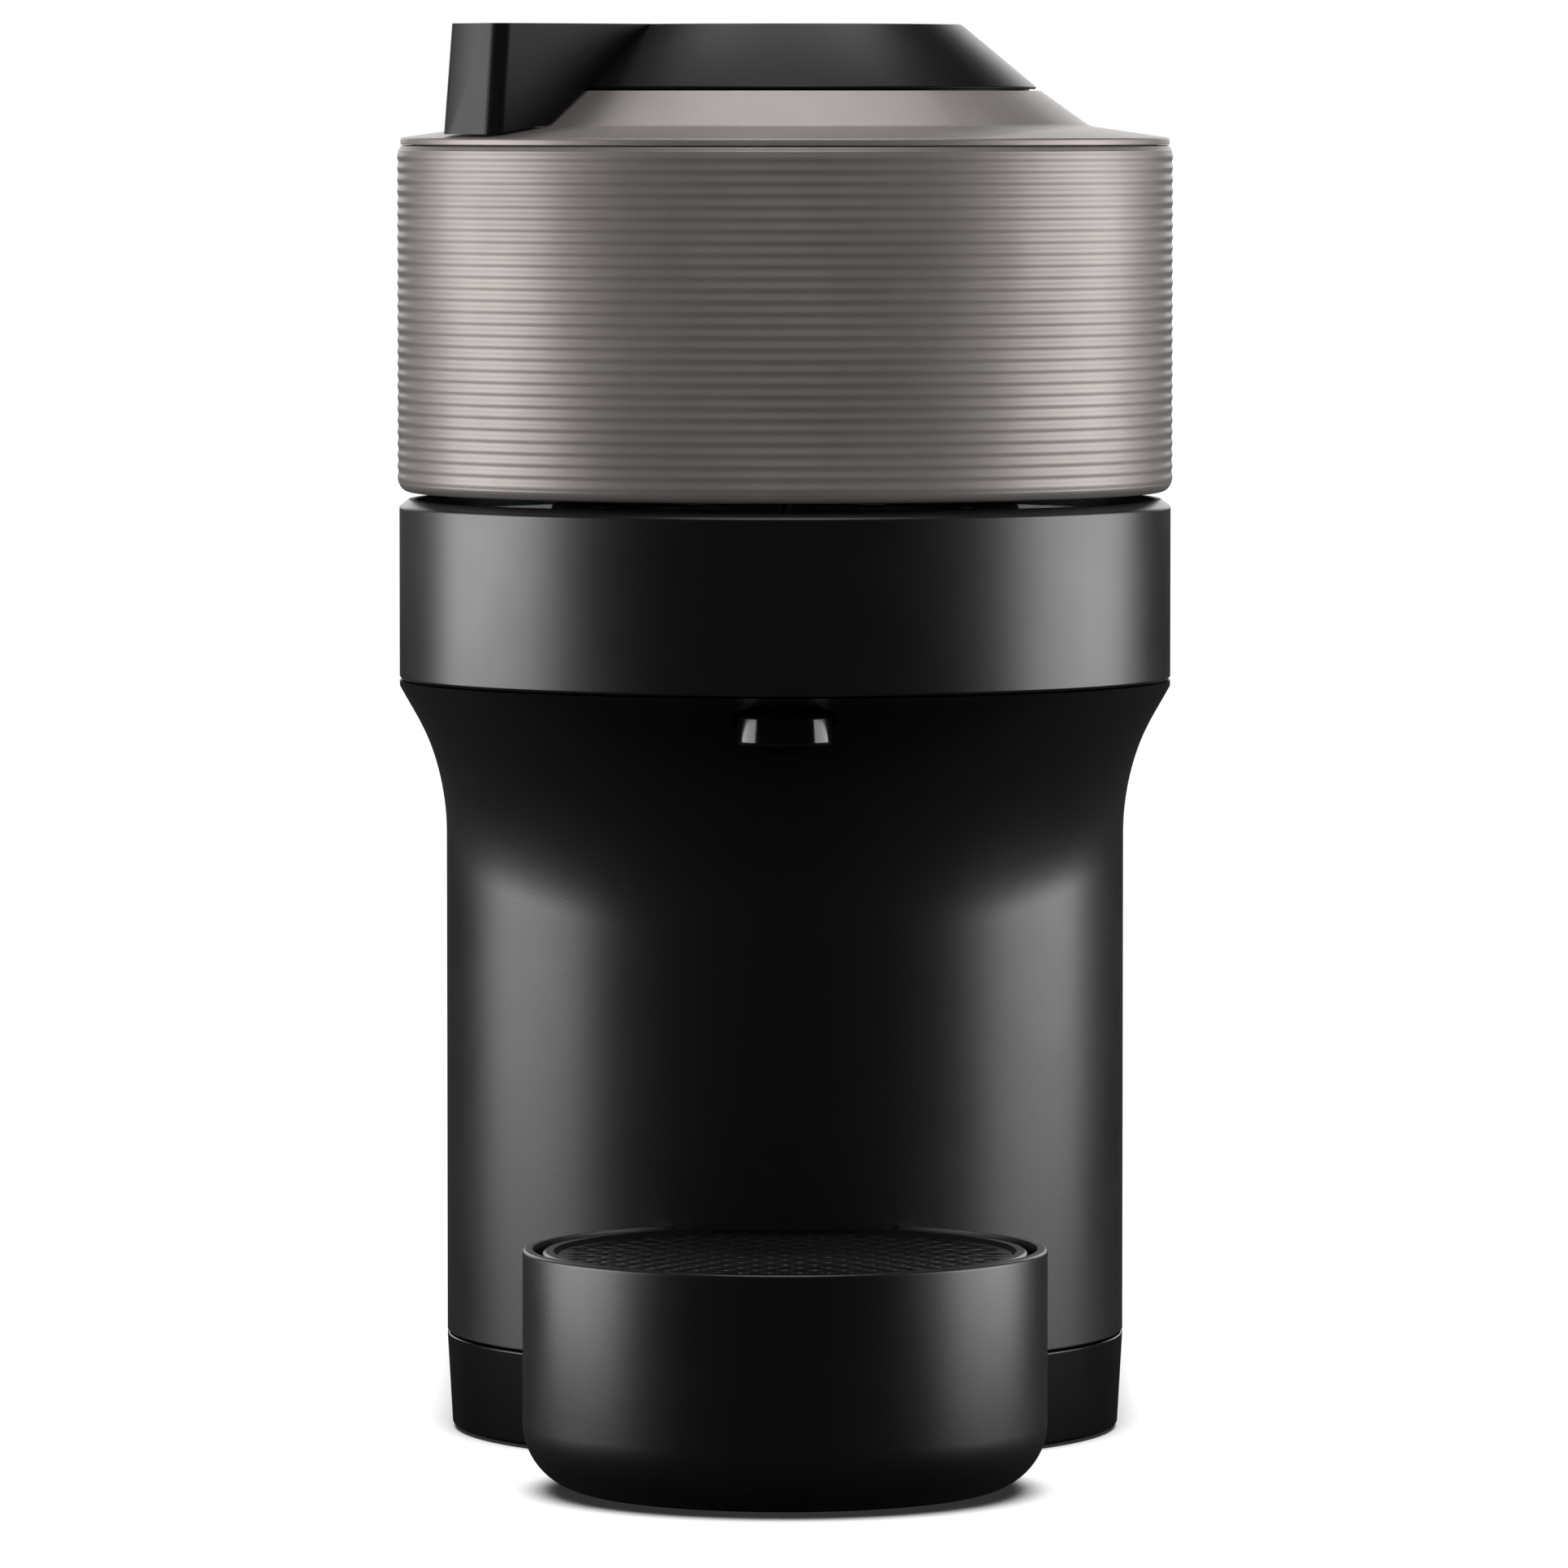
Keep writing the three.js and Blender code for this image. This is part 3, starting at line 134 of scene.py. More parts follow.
@dataclass(frozen=True)
class Look:
    """A material being made: its nodes, its shader, object coordinates and its base colour."""

    tree: bpy.types.NodeTree
    shader: bpy.types.Node
    place: Socket
    colour: str

    def node(self, kind: str, inputs: dict, **settings: object) -> bpy.types.Node:
        """Adds a node to this material."""
        return add_node(self.tree, kind, inputs, **settings)

    def grain(self, size_mm: float, octaves: float = 2.0, place: Socket | None = None) -> Socket:
        """Returns noise whose lumps are about size_mm across.

        Args:
            size_mm: The width of one lump.
            octaves: How many finer layers are added.
            place: Coordinates to use instead of the object's own.
        """
        scale = 1 / (size_mm * MM)
        inputs = {"Vector": place or self.place, "Scale": scale, "Detail": octaves, "Roughness": 0.6}
        return self.node("ShaderNodeTexNoise", inputs).outputs["Fac"]

    def spread(self, amount: Socket, reach: Pair, ends: Pair) -> Socket:
        """Returns a value moved from one range to another and kept inside it.

        Args:
            amount: The value.
            reach: The range it comes in.
            ends: What the two ends of that range become.
        """
        inputs = {"Value": amount, "From Min": reach[0], "From Max": reach[1]}
        inputs.update({"To Min": ends[0], "To Max": ends[1]})
        return self.node("ShaderNodeMapRange", inputs).outputs["Result"]

    def vary(self, noise: Socket, low: float, high: float) -> Socket:
        """Spreads noise between two values, from about its 30th to its 70th percentile."""
        return self.spread(noise, NOISE_REACH, (low, high))

    def roughen(self, noise: Socket, low: float, high: float) -> None:
        """Lets the roughness drift between two values."""
        self.tree.links.new(self.vary(noise, low, high), self.shader.inputs["Roughness"])

    def tint(self, amount: Socket, other: str) -> None:
        """Mixes the base colour towards another, given as sRGB hex, by a 0 to 1 value."""
        inputs = {0: amount, 6: linear(self.colour), 7: linear(other)}
        mixed = self.node("ShaderNodeMix", inputs, data_type="RGBA")
        self.tree.links.new(mixed.outputs[2], self.shader.inputs["Base Color"])

    def emboss(self, height: Socket, depth_mm: float, strength: float) -> None:
        """Raises the surface by a height map.

        Args:
            height: The map, 0 to 1.
            depth_mm: How high 1 stands.
            strength: The share of it that is used.
        """
        inputs = {"Strength": strength, "Distance": depth_mm * MM, "Height": height}
        bump = self.node("ShaderNodeBump", inputs)
        self.tree.links.new(bump.outputs["Normal"], self.shader.inputs["Normal"])


@dataclass(frozen=True)
class Finish:
    """What a surface is made of. Each kind adds its own texture to these values."""

    name: str
    colour: str
    roughness: float
    metallic: float = 0.0
    ior: float = 1.5
    coat: float = 0.0

    def material(self) -> bpy.types.Material:
        """Returns the material, made the first time it is asked for."""
        found = bpy.data.materials.get(self.name)
        if found:
            return found
        made = bpy.data.materials.new(self.name)
        made.use_nodes = True
        made.diffuse_color = linear(self.colour)
        shader = made.node_tree.nodes["Principled BSDF"]
        shader.inputs["Base Color"].default_value = linear(self.colour)
        shader.inputs["Roughness"].default_value = self.roughness
        shader.inputs["Metallic"].default_value = self.metallic
        shader.inputs["IOR"].default_value = self.ior
        shader.inputs["Coat Weight"].default_value = self.coat
        place = add_node(made.node_tree, "ShaderNodeTexCoord").outputs["Object"]
        self.detail(Look(made.node_tree, shader, place, self.colour))
        return made

    def detail(self, look: Look) -> None:
        """Adds the kind's own texture; the plain kind has none."""


@dataclass(frozen=True)
class MetallicLacquer(Finish):
    """ABS sprayed with aluminium-flake lacquer: a soft metal sheen with a fine sparkle."""

    flake_mm: float = 0.22
    cloud_mm: float = 24.0
    dark: str = "#7b7472"

    def detail(self, look: Look) -> None:
        """Flakes catch the light one by one; the coat's thickness drifts over the part."""
        flakes, clouds = look.grain(self.flake_mm, 3.0), look.grain(self.cloud_mm)
        both = look.node("ShaderNodeMath", {0: flakes, 1: clouds}, operation="MULTIPLY").outputs[0]
        look.tint(look.spread(both, (0.12, 0.38), (0.65, 0.0)), self.dark)
        look.roughen(flakes, self.roughness - 0.04, self.roughness + 0.05)
        look.emboss(flakes, 0.003, 0.25)


@dataclass(frozen=True)
class SparkErodedAbs(Finish):
    """ABS moulded in a spark-eroded tool: a fine even grain that turns gloss into a soft sheen."""

    grain_mm: float = 0.35
    depth_mm: float = 0.02
    patch_mm: float = 38.0
    drift: float = 0.035
    worn: str = "#0c0c0d"

    def detail(self, look: Look) -> None:
        """The grain is embossed, and handling polishes broad patches a little."""
        grain = look.grain(self.grain_mm)
        patches = look.grain(self.patch_mm, 3.0)
        look.roughen(patches, self.roughness - self.drift, self.roughness + self.drift)
        look.tint(look.vary(grain, 0.0, 0.45), self.worn)
        look.emboss(grain, self.depth_mm, 0.6)


@dataclass(frozen=True)
class PolishedAbs(Finish):
    """ABS moulded in a polished tool: mirror gloss with hairline rub marks and a faint ripple."""

    ripple_mm: float = 14.0
    speck_mm: float = 1.2

    def detail(self, look: Look) -> None:
        """Shrinkage leaves a slow ripple; rub marks raise the roughness in specks."""
        look.roughen(look.grain(self.speck_mm, 4.0), self.roughness, self.roughness + 0.06)
        look.emboss(look.grain(self.ripple_mm), 0.05, 0.25)


@dataclass(frozen=True)
class MouldedRubber(Finish):
    """Moulded thermoplastic rubber: matt and slightly mottled, with dust in its pores."""

    pore_mm: float = 0.5
    dust: str = "#2c2c2e"

    def detail(self, look: Look) -> None:
        """Pores are embossed and hold a greyer dust."""
        pores = look.grain(self.pore_mm, 3.0)
        look.tint(look.vary(pores, 0.0, 0.6), self.dust)
        look.emboss(pores, 0.04, 0.7)


@dataclass(frozen=True)
class TurnedSteel(Finish):
    """Stainless steel faced on a lathe: tool rings that stretch the highlights."""

    ring_mm: float = 0.6
    mottle_mm: float = 3.0
    axis_y_mm: float = 0.0

    def detail(self, look: Look) -> None:
        """Rings run round the drum's axis, a tool feed apart, over a faint mottle."""
        centre = (0.0, -self.axis_y_mm * MM, 0.0)
        moved = look.node("ShaderNodeVectorMath", {0: look.place, 1: centre}).outputs["Vector"]
        inputs = {"Vector": moved, "Scale": RINGS_PER_SCALE / (self.ring_mm * MM), "Distortion": 0.4}
        rings = look.node("ShaderNodeTexWave", inputs, wave_type="RINGS", rings_direction="Z")
        look.roughen(look.grain(self.mottle_mm, 3.0), self.roughness - 0.05, self.roughness + 0.08)
        look.emboss(rings.outputs["Fac"], 0.01, 0.4)


@dataclass(frozen=True)
class FilledNylon(Finish):
    """Glass-filled nylon: fibres show at the surface as pale flow streaks."""

    streak_mm: float = 5.0
    fibre: str = "#77797c"

    def detail(self, look: Look) -> None:
        """Streaks are noise drawn out along the flow."""
        drawn = look.node("ShaderNodeMapping", {"Vector": look.place, "Scale": (1.0, 0.25, 1.0)})
        streaks = look.grain(self.streak_mm, 5.0, drawn.outputs["Vector"])
        look.tint(look.vary(streaks, 0.0, 0.4), self.fibre)
        look.emboss(streaks, 0.02, 0.4)


@dataclass(frozen=True)
class SmokedCopolyester(Finish):
    """Clear copolyester with a smoke tint: a blown-clean tank wall that bends what is behind it."""

    clear: float = 0.92
    mark_mm: float = 9.0
    ripple_mm: float = 30.0

    def detail(self, look: Look) -> None:
        """The wall passes light; water marks leave faint rougher patches."""
        look.shader.inputs["Transmission Weight"].default_value = self.clear
        look.roughen(look.grain(self.mark_mm, 4.0), self.roughness, self.roughness + 0.05)
        look.emboss(look.grain(self.ripple_mm), 0.08, 0.2)


@dataclass(frozen=True)
class OpalGuide(Finish):
    """Opal polycarbonate light guide: milky, with the lamp's glow a little uneven."""

    glow: float = 0.35
    lamp_mm: float = 8.0
    dim: str = "#cfcabb"

    def detail(self, look: Look) -> None:
        """The glow is soft, and stronger over each lamp."""
        look.shader.inputs["Emission Color"].default_value = linear(self.colour)
        look.shader.inputs["Emission Strength"].default_value = self.glow
        look.tint(look.vary(look.grain(self.lamp_mm), 0.0, 0.5), self.dim)


@dataclass(frozen=True)
class SolderMask(Finish):
    """Epoxy solder mask on a circuit board: glossy green over paler copper tracks."""

    track_mm: float = 2.5
    over_track: str = "#3c8f5f"

    def detail(self, look: Look) -> None:
        """Tracks are square-cornered cells under the mask."""
        inputs = {"Vector": look.place, "Scale": 1 / (self.track_mm * MM)}
        cells = look.node("ShaderNodeTexVoronoi", inputs, distance="CHEBYCHEV").outputs["Distance"]
        look.tint(look.vary(cells, 0.0, 0.8), self.over_track)
        look.emboss(cells, 0.035, 0.5)


class Finishes(Enum):
    """Every finish of the machine, under the record's name for its slot."""

    # Drum and cover: warm titanium lacquer, soft metal sheen.
    TITANIUM = MetallicLacquer(
        "titanium_flake_lacquer_on_abs", "#948d8a", 0.45, metallic=0.6, coat=0.05
    )
    # Housing, tray and base: satin black, a broad soft highlight and no mirror image.
    SATIN_BLACK = SparkErodedAbs("satin_black_spark_eroded_abs", "#050506", 0.37, ior=1.7)
    # Base: the same black from a smoother tool, so it looks deeper.
    BASE_BLACK = SparkErodedAbs(
        "fine_black_abs", "#040405", 0.26, ior=1.42, grain_mm=0.2, depth_mm=0.008
    )
    # Lever: the same black from a finer tool, so it looks smoother and greyer.
    LEVER_BLACK = SparkErodedAbs(
        "smooth_satin_black_abs", "#0b0b0c", 0.36, ior=1.3, grain_mm=0.2, depth_mm=0.008
    )
    # Spout and key: piano black.
    GLOSS_BLACK = PolishedAbs("polished_black_abs", "#050506", 0.1)
    # Feet, seal, gland and belt.
    RUBBER = MouldedRubber("moulded_black_rubber", "#141416", 0.82)
    # Bearings, pins, screws and the piercing plate.
    STEEL = TurnedSteel("turned_stainless_steel", "#b9bbbd", 0.28, metallic=1.0, axis_y_mm=-112.0)
    # Frames, pump and pulleys.
    GREY_PLASTIC = FilledNylon("glass_filled_nylon", "#3a3b3d", 0.55)
    # Valve, hoses and flow meter.
    NATURAL_PLASTIC = FilledNylon("natural_acetal", "#d6d4cc", 0.45, streak_mm=9.0)
    # Tank.
    SMOKED_CLEAR = SmokedCopolyester("smoked_clear_copolyester", "#7f858b", 0.06, ior=1.56)
    # Controls.
    BOARD = SolderMask("green_solder_mask", "#1c5537", 0.3)
    # Ring round the key.
    LAMP = OpalGuide("opal_polycarbonate_guide", "#ece8dc", 0.35)


# ---------------------------------------------------------------- outlines


def arc(cx: float, cy: float, rx: float, ry: float, start: float, end: float, steps: int) -> Outline:
    """Returns points along an elliptical arc, both ends included, with angles in degrees."""
    angles = [math.radians(start + (end - start) * i / steps) for i in range(steps + 1)]
    return [(cx + rx * math.cos(a), cy + ry * math.sin(a)) for a in angles]


def filleted(corners: Sequence[tuple[float, float, float]], steps: int = 6) -> Outline:
    """Rounds the corners of a closed polygon.

    Args:
        corners: Each corner's two coordinates and its fillet radius, 0 for a sharp one.
        steps: Segments along each fillet.

    Returns:
        The rounded outline.
    """
    points: Outline = []
    count = len(corners)
    for i, (x, y, radius) in enumerate(corners):
        here = Vector((x, y))
        back = Vector(corners[i - 1][:2]) - here
        ahead = Vector(corners[(i + 1) % count][:2]) - here
        turn = back.angle(ahead)
        if radius <= 0 or turn > math.pi - 0.01 or turn < 0.01:
            points.append((x, y))
            continue
        reach = min(radius / math.tan(turn / 2), 0.48 * back.length, 0.48 * ahead.length)
        size = reach * math.tan(turn / 2)
        middle = here + (back.normalized() + ahead.normalized()).normalized() * (
            size / math.sin(turn / 2)
        )
        first = here + back.normalized() * reach - middle
        last = here + ahead.normalized() * reach - middle
        for step in range(steps + 1):
            part = first.lerp(last, step / steps).normalized() * size + middle
            points.append((part.x, part.y))
    return points


def rounded_rectangle(
    x0: float, x1: float, y0: float, y1: float, corner: float, steps: int = 12
) -> Outline:
    """Returns an anticlockwise rectangle with round corners."""
    return [
        *arc(x1 - corner, y1 - corner, corner, corner, 0, 90, steps),
        *arc(x0 + corner, y1 - corner, corner, corner, 90, 180, steps),
        *arc(x0 + corner, y0 + corner, corner, corner, 180, 270, steps),
        *arc(x1 - corner, y0 + corner, corner, corner, 270, 360, steps),
    ]


def inset(outline: Outline, amount: float) -> Outline:
    """Moves each point of an anticlockwise outline inwards along its corner's bisector."""
    moved: Outline = []
    count = len(outline)
    for i, (x, y) in enumerate(outline):
        before = Vector((x - outline[i - 1][0], y - outline[i - 1][1]))
        after = Vector((outline[(i + 1) % count][0] - x, outline[(i + 1) % count][1] - y))
        along = before.normalized() + after.normalized()
        normal = Vector((-along.y, along.x)).normalized()
        moved.append((x + normal.x * amount, y + normal.y * amount))
    return moved


# ---------------------------------------------------------------- meshes


@dataclass
class Draft:
    """A mesh being put together, in millimetres."""

    points: list[tuple[float, float, float]] = field(default_factory=list)
    faces: list[list[int]] = field(default_factory=list)

    def ring(self, outline: Outline, z: float) -> list[int]:
        """Adds an outline at one height and returns its vertex numbers."""
        return self.strip([(x, y, z) for x, y in outline])

    def strip(self, points: Sequence[tuple[float, float, float]]) -> list[int]:
        """Adds a run of points and returns their numbers."""
        first = len(self.points)
        self.points.extend(points)
        return list(range(first, len(self.points)))

    def bridge(self, low: list[int], high: list[int]) -> None:
        """Joins two rings of the same length with quads."""
        for i in range(len(low)):
            j = (i + 1) % len(low)
            self.faces.append([low[i], low[j], high[j], high[i]])

    def cap(self, ring: list[int], up: bool) -> None:
        """Closes a ring with one flat face."""
        self.faces.append(list(ring) if up else list(reversed(ring)))

    def loft(self, rings: Sequence[Sequence[tuple[float, float, float]]]) -> None:
        """Joins rings from bottom to top and closes both ends."""
        made = [self.strip(ring) for ring in rings]
        for low, high in zip(made, made[1:]):
            self.bridge(low, high)
        self.cap(made[0], False)
        self.cap(made[-1], True)

    def prism(self, outline: Outline, axis: int, ends: Pair) -> Draft:
        """Adds a straight prism and returns the draft.

        Args:
            outline: Its section, in the two other axes.
            axis: The axis it runs along: 0, 1 or 2.
            ends: Where on that axis it starts and stops.
        """
        self.loft([[(*point[:axis], end, *point[axis:]) for point in outline] for end in ends])
        return self

    def revolve(self, profile: Outline, y: float, steps: int = 192, x: float = 0.0) -> Draft:
        """Turns a closed profile of (radius, height) about a vertical axis and returns the draft.

        Args:
            profile: The profile's points. Those on the axis become one vertex each.
            y: The axis's place along Y.
            steps: Segments round the axis.
            x: The axis's place along X.
        """
        columns: list[list[int]] = []
        for radius, z in profile:
            if radius < 1e-6:
                columns.append(self.strip([(x, y, z)]) * steps)
                continue
            columns.append(self.ring(arc(x, y, radius, radius, 0, 360, steps)[:-1], z))
        for low, high in zip(columns, columns[1:] + columns[:1]):
            for i in range(steps):
                j = (i + 1) % steps
                corners = dict.fromkeys([low[i], low[j], high[j], high[i]])
                if len(corners) > 2:
                    self.faces.append(list(corners))
        return self

    def build(self, name: str, finish: Finishes, smooth_deg: float = 32.0) -> bpy.types.Object:
        """Makes the object in metres, with normals out and sharp edges kept.

        Args:
            name: The piece's name.
            finish: Its finish.
            smooth_deg: Edges that turn by more than this stay sharp.

        Returns:
            The new object.
        """
        mesh = bpy.data.meshes.new(name)
        mesh.from_pydata([(x * MM, y * MM, z * MM) for x, y, z in self.points], [], self.faces)
        tidy = bmesh.new()
        tidy.from_mesh(mesh)
        bmesh.ops.remove_doubles(tidy, verts=tidy.verts, dist=1e-6)
        bmesh.ops.recalc_face_normals(tidy, faces=tidy.faces)
        tidy.to_mesh(mesh)
        tidy.free()
        mesh.polygons.foreach_set("use_smooth", [True] * len(mesh.polygons))
        mesh.set_sharp_from_angle(angle=math.radians(smooth_deg))
        mesh.materials.append(finish.value.material())
        made = bpy.data.objects.new(name, mesh)
        bpy.context.scene.collection.objects.link(made)
        return made


def turned(
    name: str, finish: Finishes, profile: Outline, y: float, steps: int = 192, x: float = 0.0
) -> bpy.types.Object:
    """Returns a turned piece made from a closed profile."""
    return Draft().revolve(profile, y, steps, x).build(name, finish)


def plug(radius: float, ends: Pair, y: float, steps: int, x: float = 0.0) -> Draft:
    """Returns an upright cylinder between two heights, to cut a round hole with."""
    low, high = ends
    return Draft().revolve([(0, low), (radius, low), (radius, high), (0, high)], y, steps, x)


def slab(outline: Outline, z0: float, z1: float, top: float = 0.0, bottom: float = 0.0) -> Draft:
    """Raises an outline between two heights, with round edges.

    Args:
        outline: An anticlockwise outline.
        z0: The lower height.
        z1: The upper height.
        top: The radius of the upper edge.
        bottom: The radius of the lower edge.

    Returns:
        The draft of a closed solid.
    """
    steps = 5
    levels: list[Pair] = []
    if bottom > 0:
        quarter = [math.radians(90 * i / steps) for i in range(steps)]
        levels += [(z0 + bottom * (1 - math.sin(a)), bottom * (1 - math.cos(a))) for a in quarter[::-1]]
        levels = [(z0, bottom)] + sorted(levels)
    else:
        levels.append((z0, 0.0))
    if top > 0:
        quarter = [math.radians(90 * i / steps) for i in range(steps + 1)]
        levels += [(z1 - top * (1 - math.sin(a)), top * (1 - math.cos(a))) for a in quarter]
    else:
        levels.append((z1, 0.0))
    draft = Draft()
    draft.loft([[(x, y, z) for x, y in inset(outline, back)] for z, back in levels])
    return draft


def carve(
    target: bpy.types.Object, tool: bpy.types.Object | Draft, operation: str = "DIFFERENCE"
) -> bpy.types.Object:
    """Cuts a piece with another, or joins them, and removes the other.

    Args:
        target: The piece that is kept, with its own finish.
        tool: The piece, or the draft of one, that is used up.
        operation: DIFFERENCE, UNION or INTERSECT.

    Returns:
        The target.
    """
    if isinstance(tool, Draft):
        tool = tool.build("tool", Finishes.SATIN_BLACK)
    change = target.modifiers.new("carve", "BOOLEAN")
    change.operation = operation
    change.solver = "EXACT"
    change.object = tool
    settle(target)
    bpy.data.objects.remove(tool, do_unlink=True)
    return target


def settle(target: bpy.types.Object) -> None:
    """Applies a piece's modifiers to its mesh."""
    graph = bpy.context.evaluated_depsgraph_get()
    settled = bpy.data.meshes.new_from_object(target.evaluated_get(graph), depsgraph=graph)
    target.modifiers.clear()
    target.data = settled


def soften(target: bpy.types.Object, width_mm: float, angle_deg: float = 32.0) -> None:
    """Rounds a piece's sharp edges and keeps its large faces flat in shading."""
    edge = target.modifiers.new("soft_edge", "BEVEL")
    edge.width = width_mm * MM
    edge.segments = 3
    edge.limit_method = "ANGLE"
    edge.angle_limit = math.radians(angle_deg)
    edge.harden_normals = True


@dataclass(frozen=True)
class Box:
    """A CAD node's box in millimetres."""

    low: Vector
    high: Vector

    @classmethod
    def of(cls, node: str) -> Box:
        """Reads a node's box from the frame."""
        low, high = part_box(node)
        return cls(Vector(low) / MM, Vector(high) / MM)

    @property
    def centre(self) -> Vector:
        """The middle of the box."""
        return (self.low + self.high) / 2

    @property
    def radius(self) -> float:
        """Half of its width."""
        return (self.high.x - self.low.x) / 2


def place(piece: bpy.types.Object, body: str, slot: str, *nodes: str) -> None:
    """Puts a piece on its body and hides the nodes it stands for."""
    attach(piece, body)
    if nodes:
        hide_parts(*nodes)
    LOG.info("%s on %s, for %s", piece.name, body, ", ".join(nodes) or "no node")


# ---------------------------------------------------------------- the body's outline


@dataclass(frozen=True)
class BodyPlan:
    """The body seen from above, and how its front turns into the drum's circle."""

    half: float
    widest_y: float
    back: float
    ring_r: float
    ring_y: float
    bulge: float = 60.0
    corner: float = 16.0
    front_steps: int = 96
    side_steps: int = 8

    @classmethod
    def read(cls) -> BodyPlan:
        """Reads the plan from the frame."""
        base, shell, ring = Box.of("base_foot"), Box.of("body_shell"), Box.of("lower_head_ring")
        return cls(
            half=base.radius,
            widest_y=base.low.y + cls.bulge,
            back=shell.high.y,
            ring_r=ring.radius,
            ring_y=ring.centre.y,
        )

    def meeting(self, inset_by: float) -> float:
        """Returns the angle behind the drum's widest place where it meets the body's side."""
        return math.acos((self.half - inset_by) / (self.ring_r - inset_by))

    def side(self, inset_by: float) -> list[tuple[float, Pair]]:
        """Returns the right side's points on the body and their partners on the drum."""
        radius = self.ring_r - inset_by
        turn = self.meeting(inset_by)
        end = max(self.ring_y + radius * math.sin(turn), self.widest_y + 2)
        pairs = []
        for i in range(self.side_steps + 1):
            share = i / self.side_steps
            angle = turn * share
            partner = (radius * math.cos(angle), self.ring_y + radius * math.sin(angle))
            pairs.append((self.widest_y + (end - self.widest_y) * share, partner))
        return pairs

    def rear(self, inset_by: float, back: float) -> Outline:
        """Returns the round corners at the back, right to left."""
        half, corner, rear = self.half - inset_by, max(self.corner - inset_by, 2), back - inset_by
        return [
            *arc(half - corner, rear - corner, corner, corner, 0, 90, 14),
            *arc(-half + corner, rear - corner, corner, corner, 90, 180, 14),
        ]

    def outline(self, inset_by: float = 0.0, back: float | None = None) -> Outline:
        """Returns the body's outline, moved inwards by inset_by."""
        half = self.half - inset_by
        side = [y for y, _ in self.side(inset_by)]
        front = arc(0, self.widest_y, half, self.bulge - inset_by, 180, 360, self.front_steps)
        return [
            *[(half, y) for y in side],
            *self.rear(inset_by, self.back if back is None else back),
            *[(-half, y) for y in reversed(side)],
            *front[1:-1],
        ]

    def head_outline(self, inset_by: float = 0.0) -> Outline:
        """Returns the same outline at the drum, where the front is a circle."""
        radius = self.ring_r - inset_by
        side = [partner for _, partner in self.side(inset_by)]
        return [
            *side,
            *self.rear(inset_by, self.back),
            *[(-x, y) for x, y in reversed(side)],
            *arc(0, self.ring_y, radius, radius, 180, 360, self.front_steps)[1:-1],
        ]


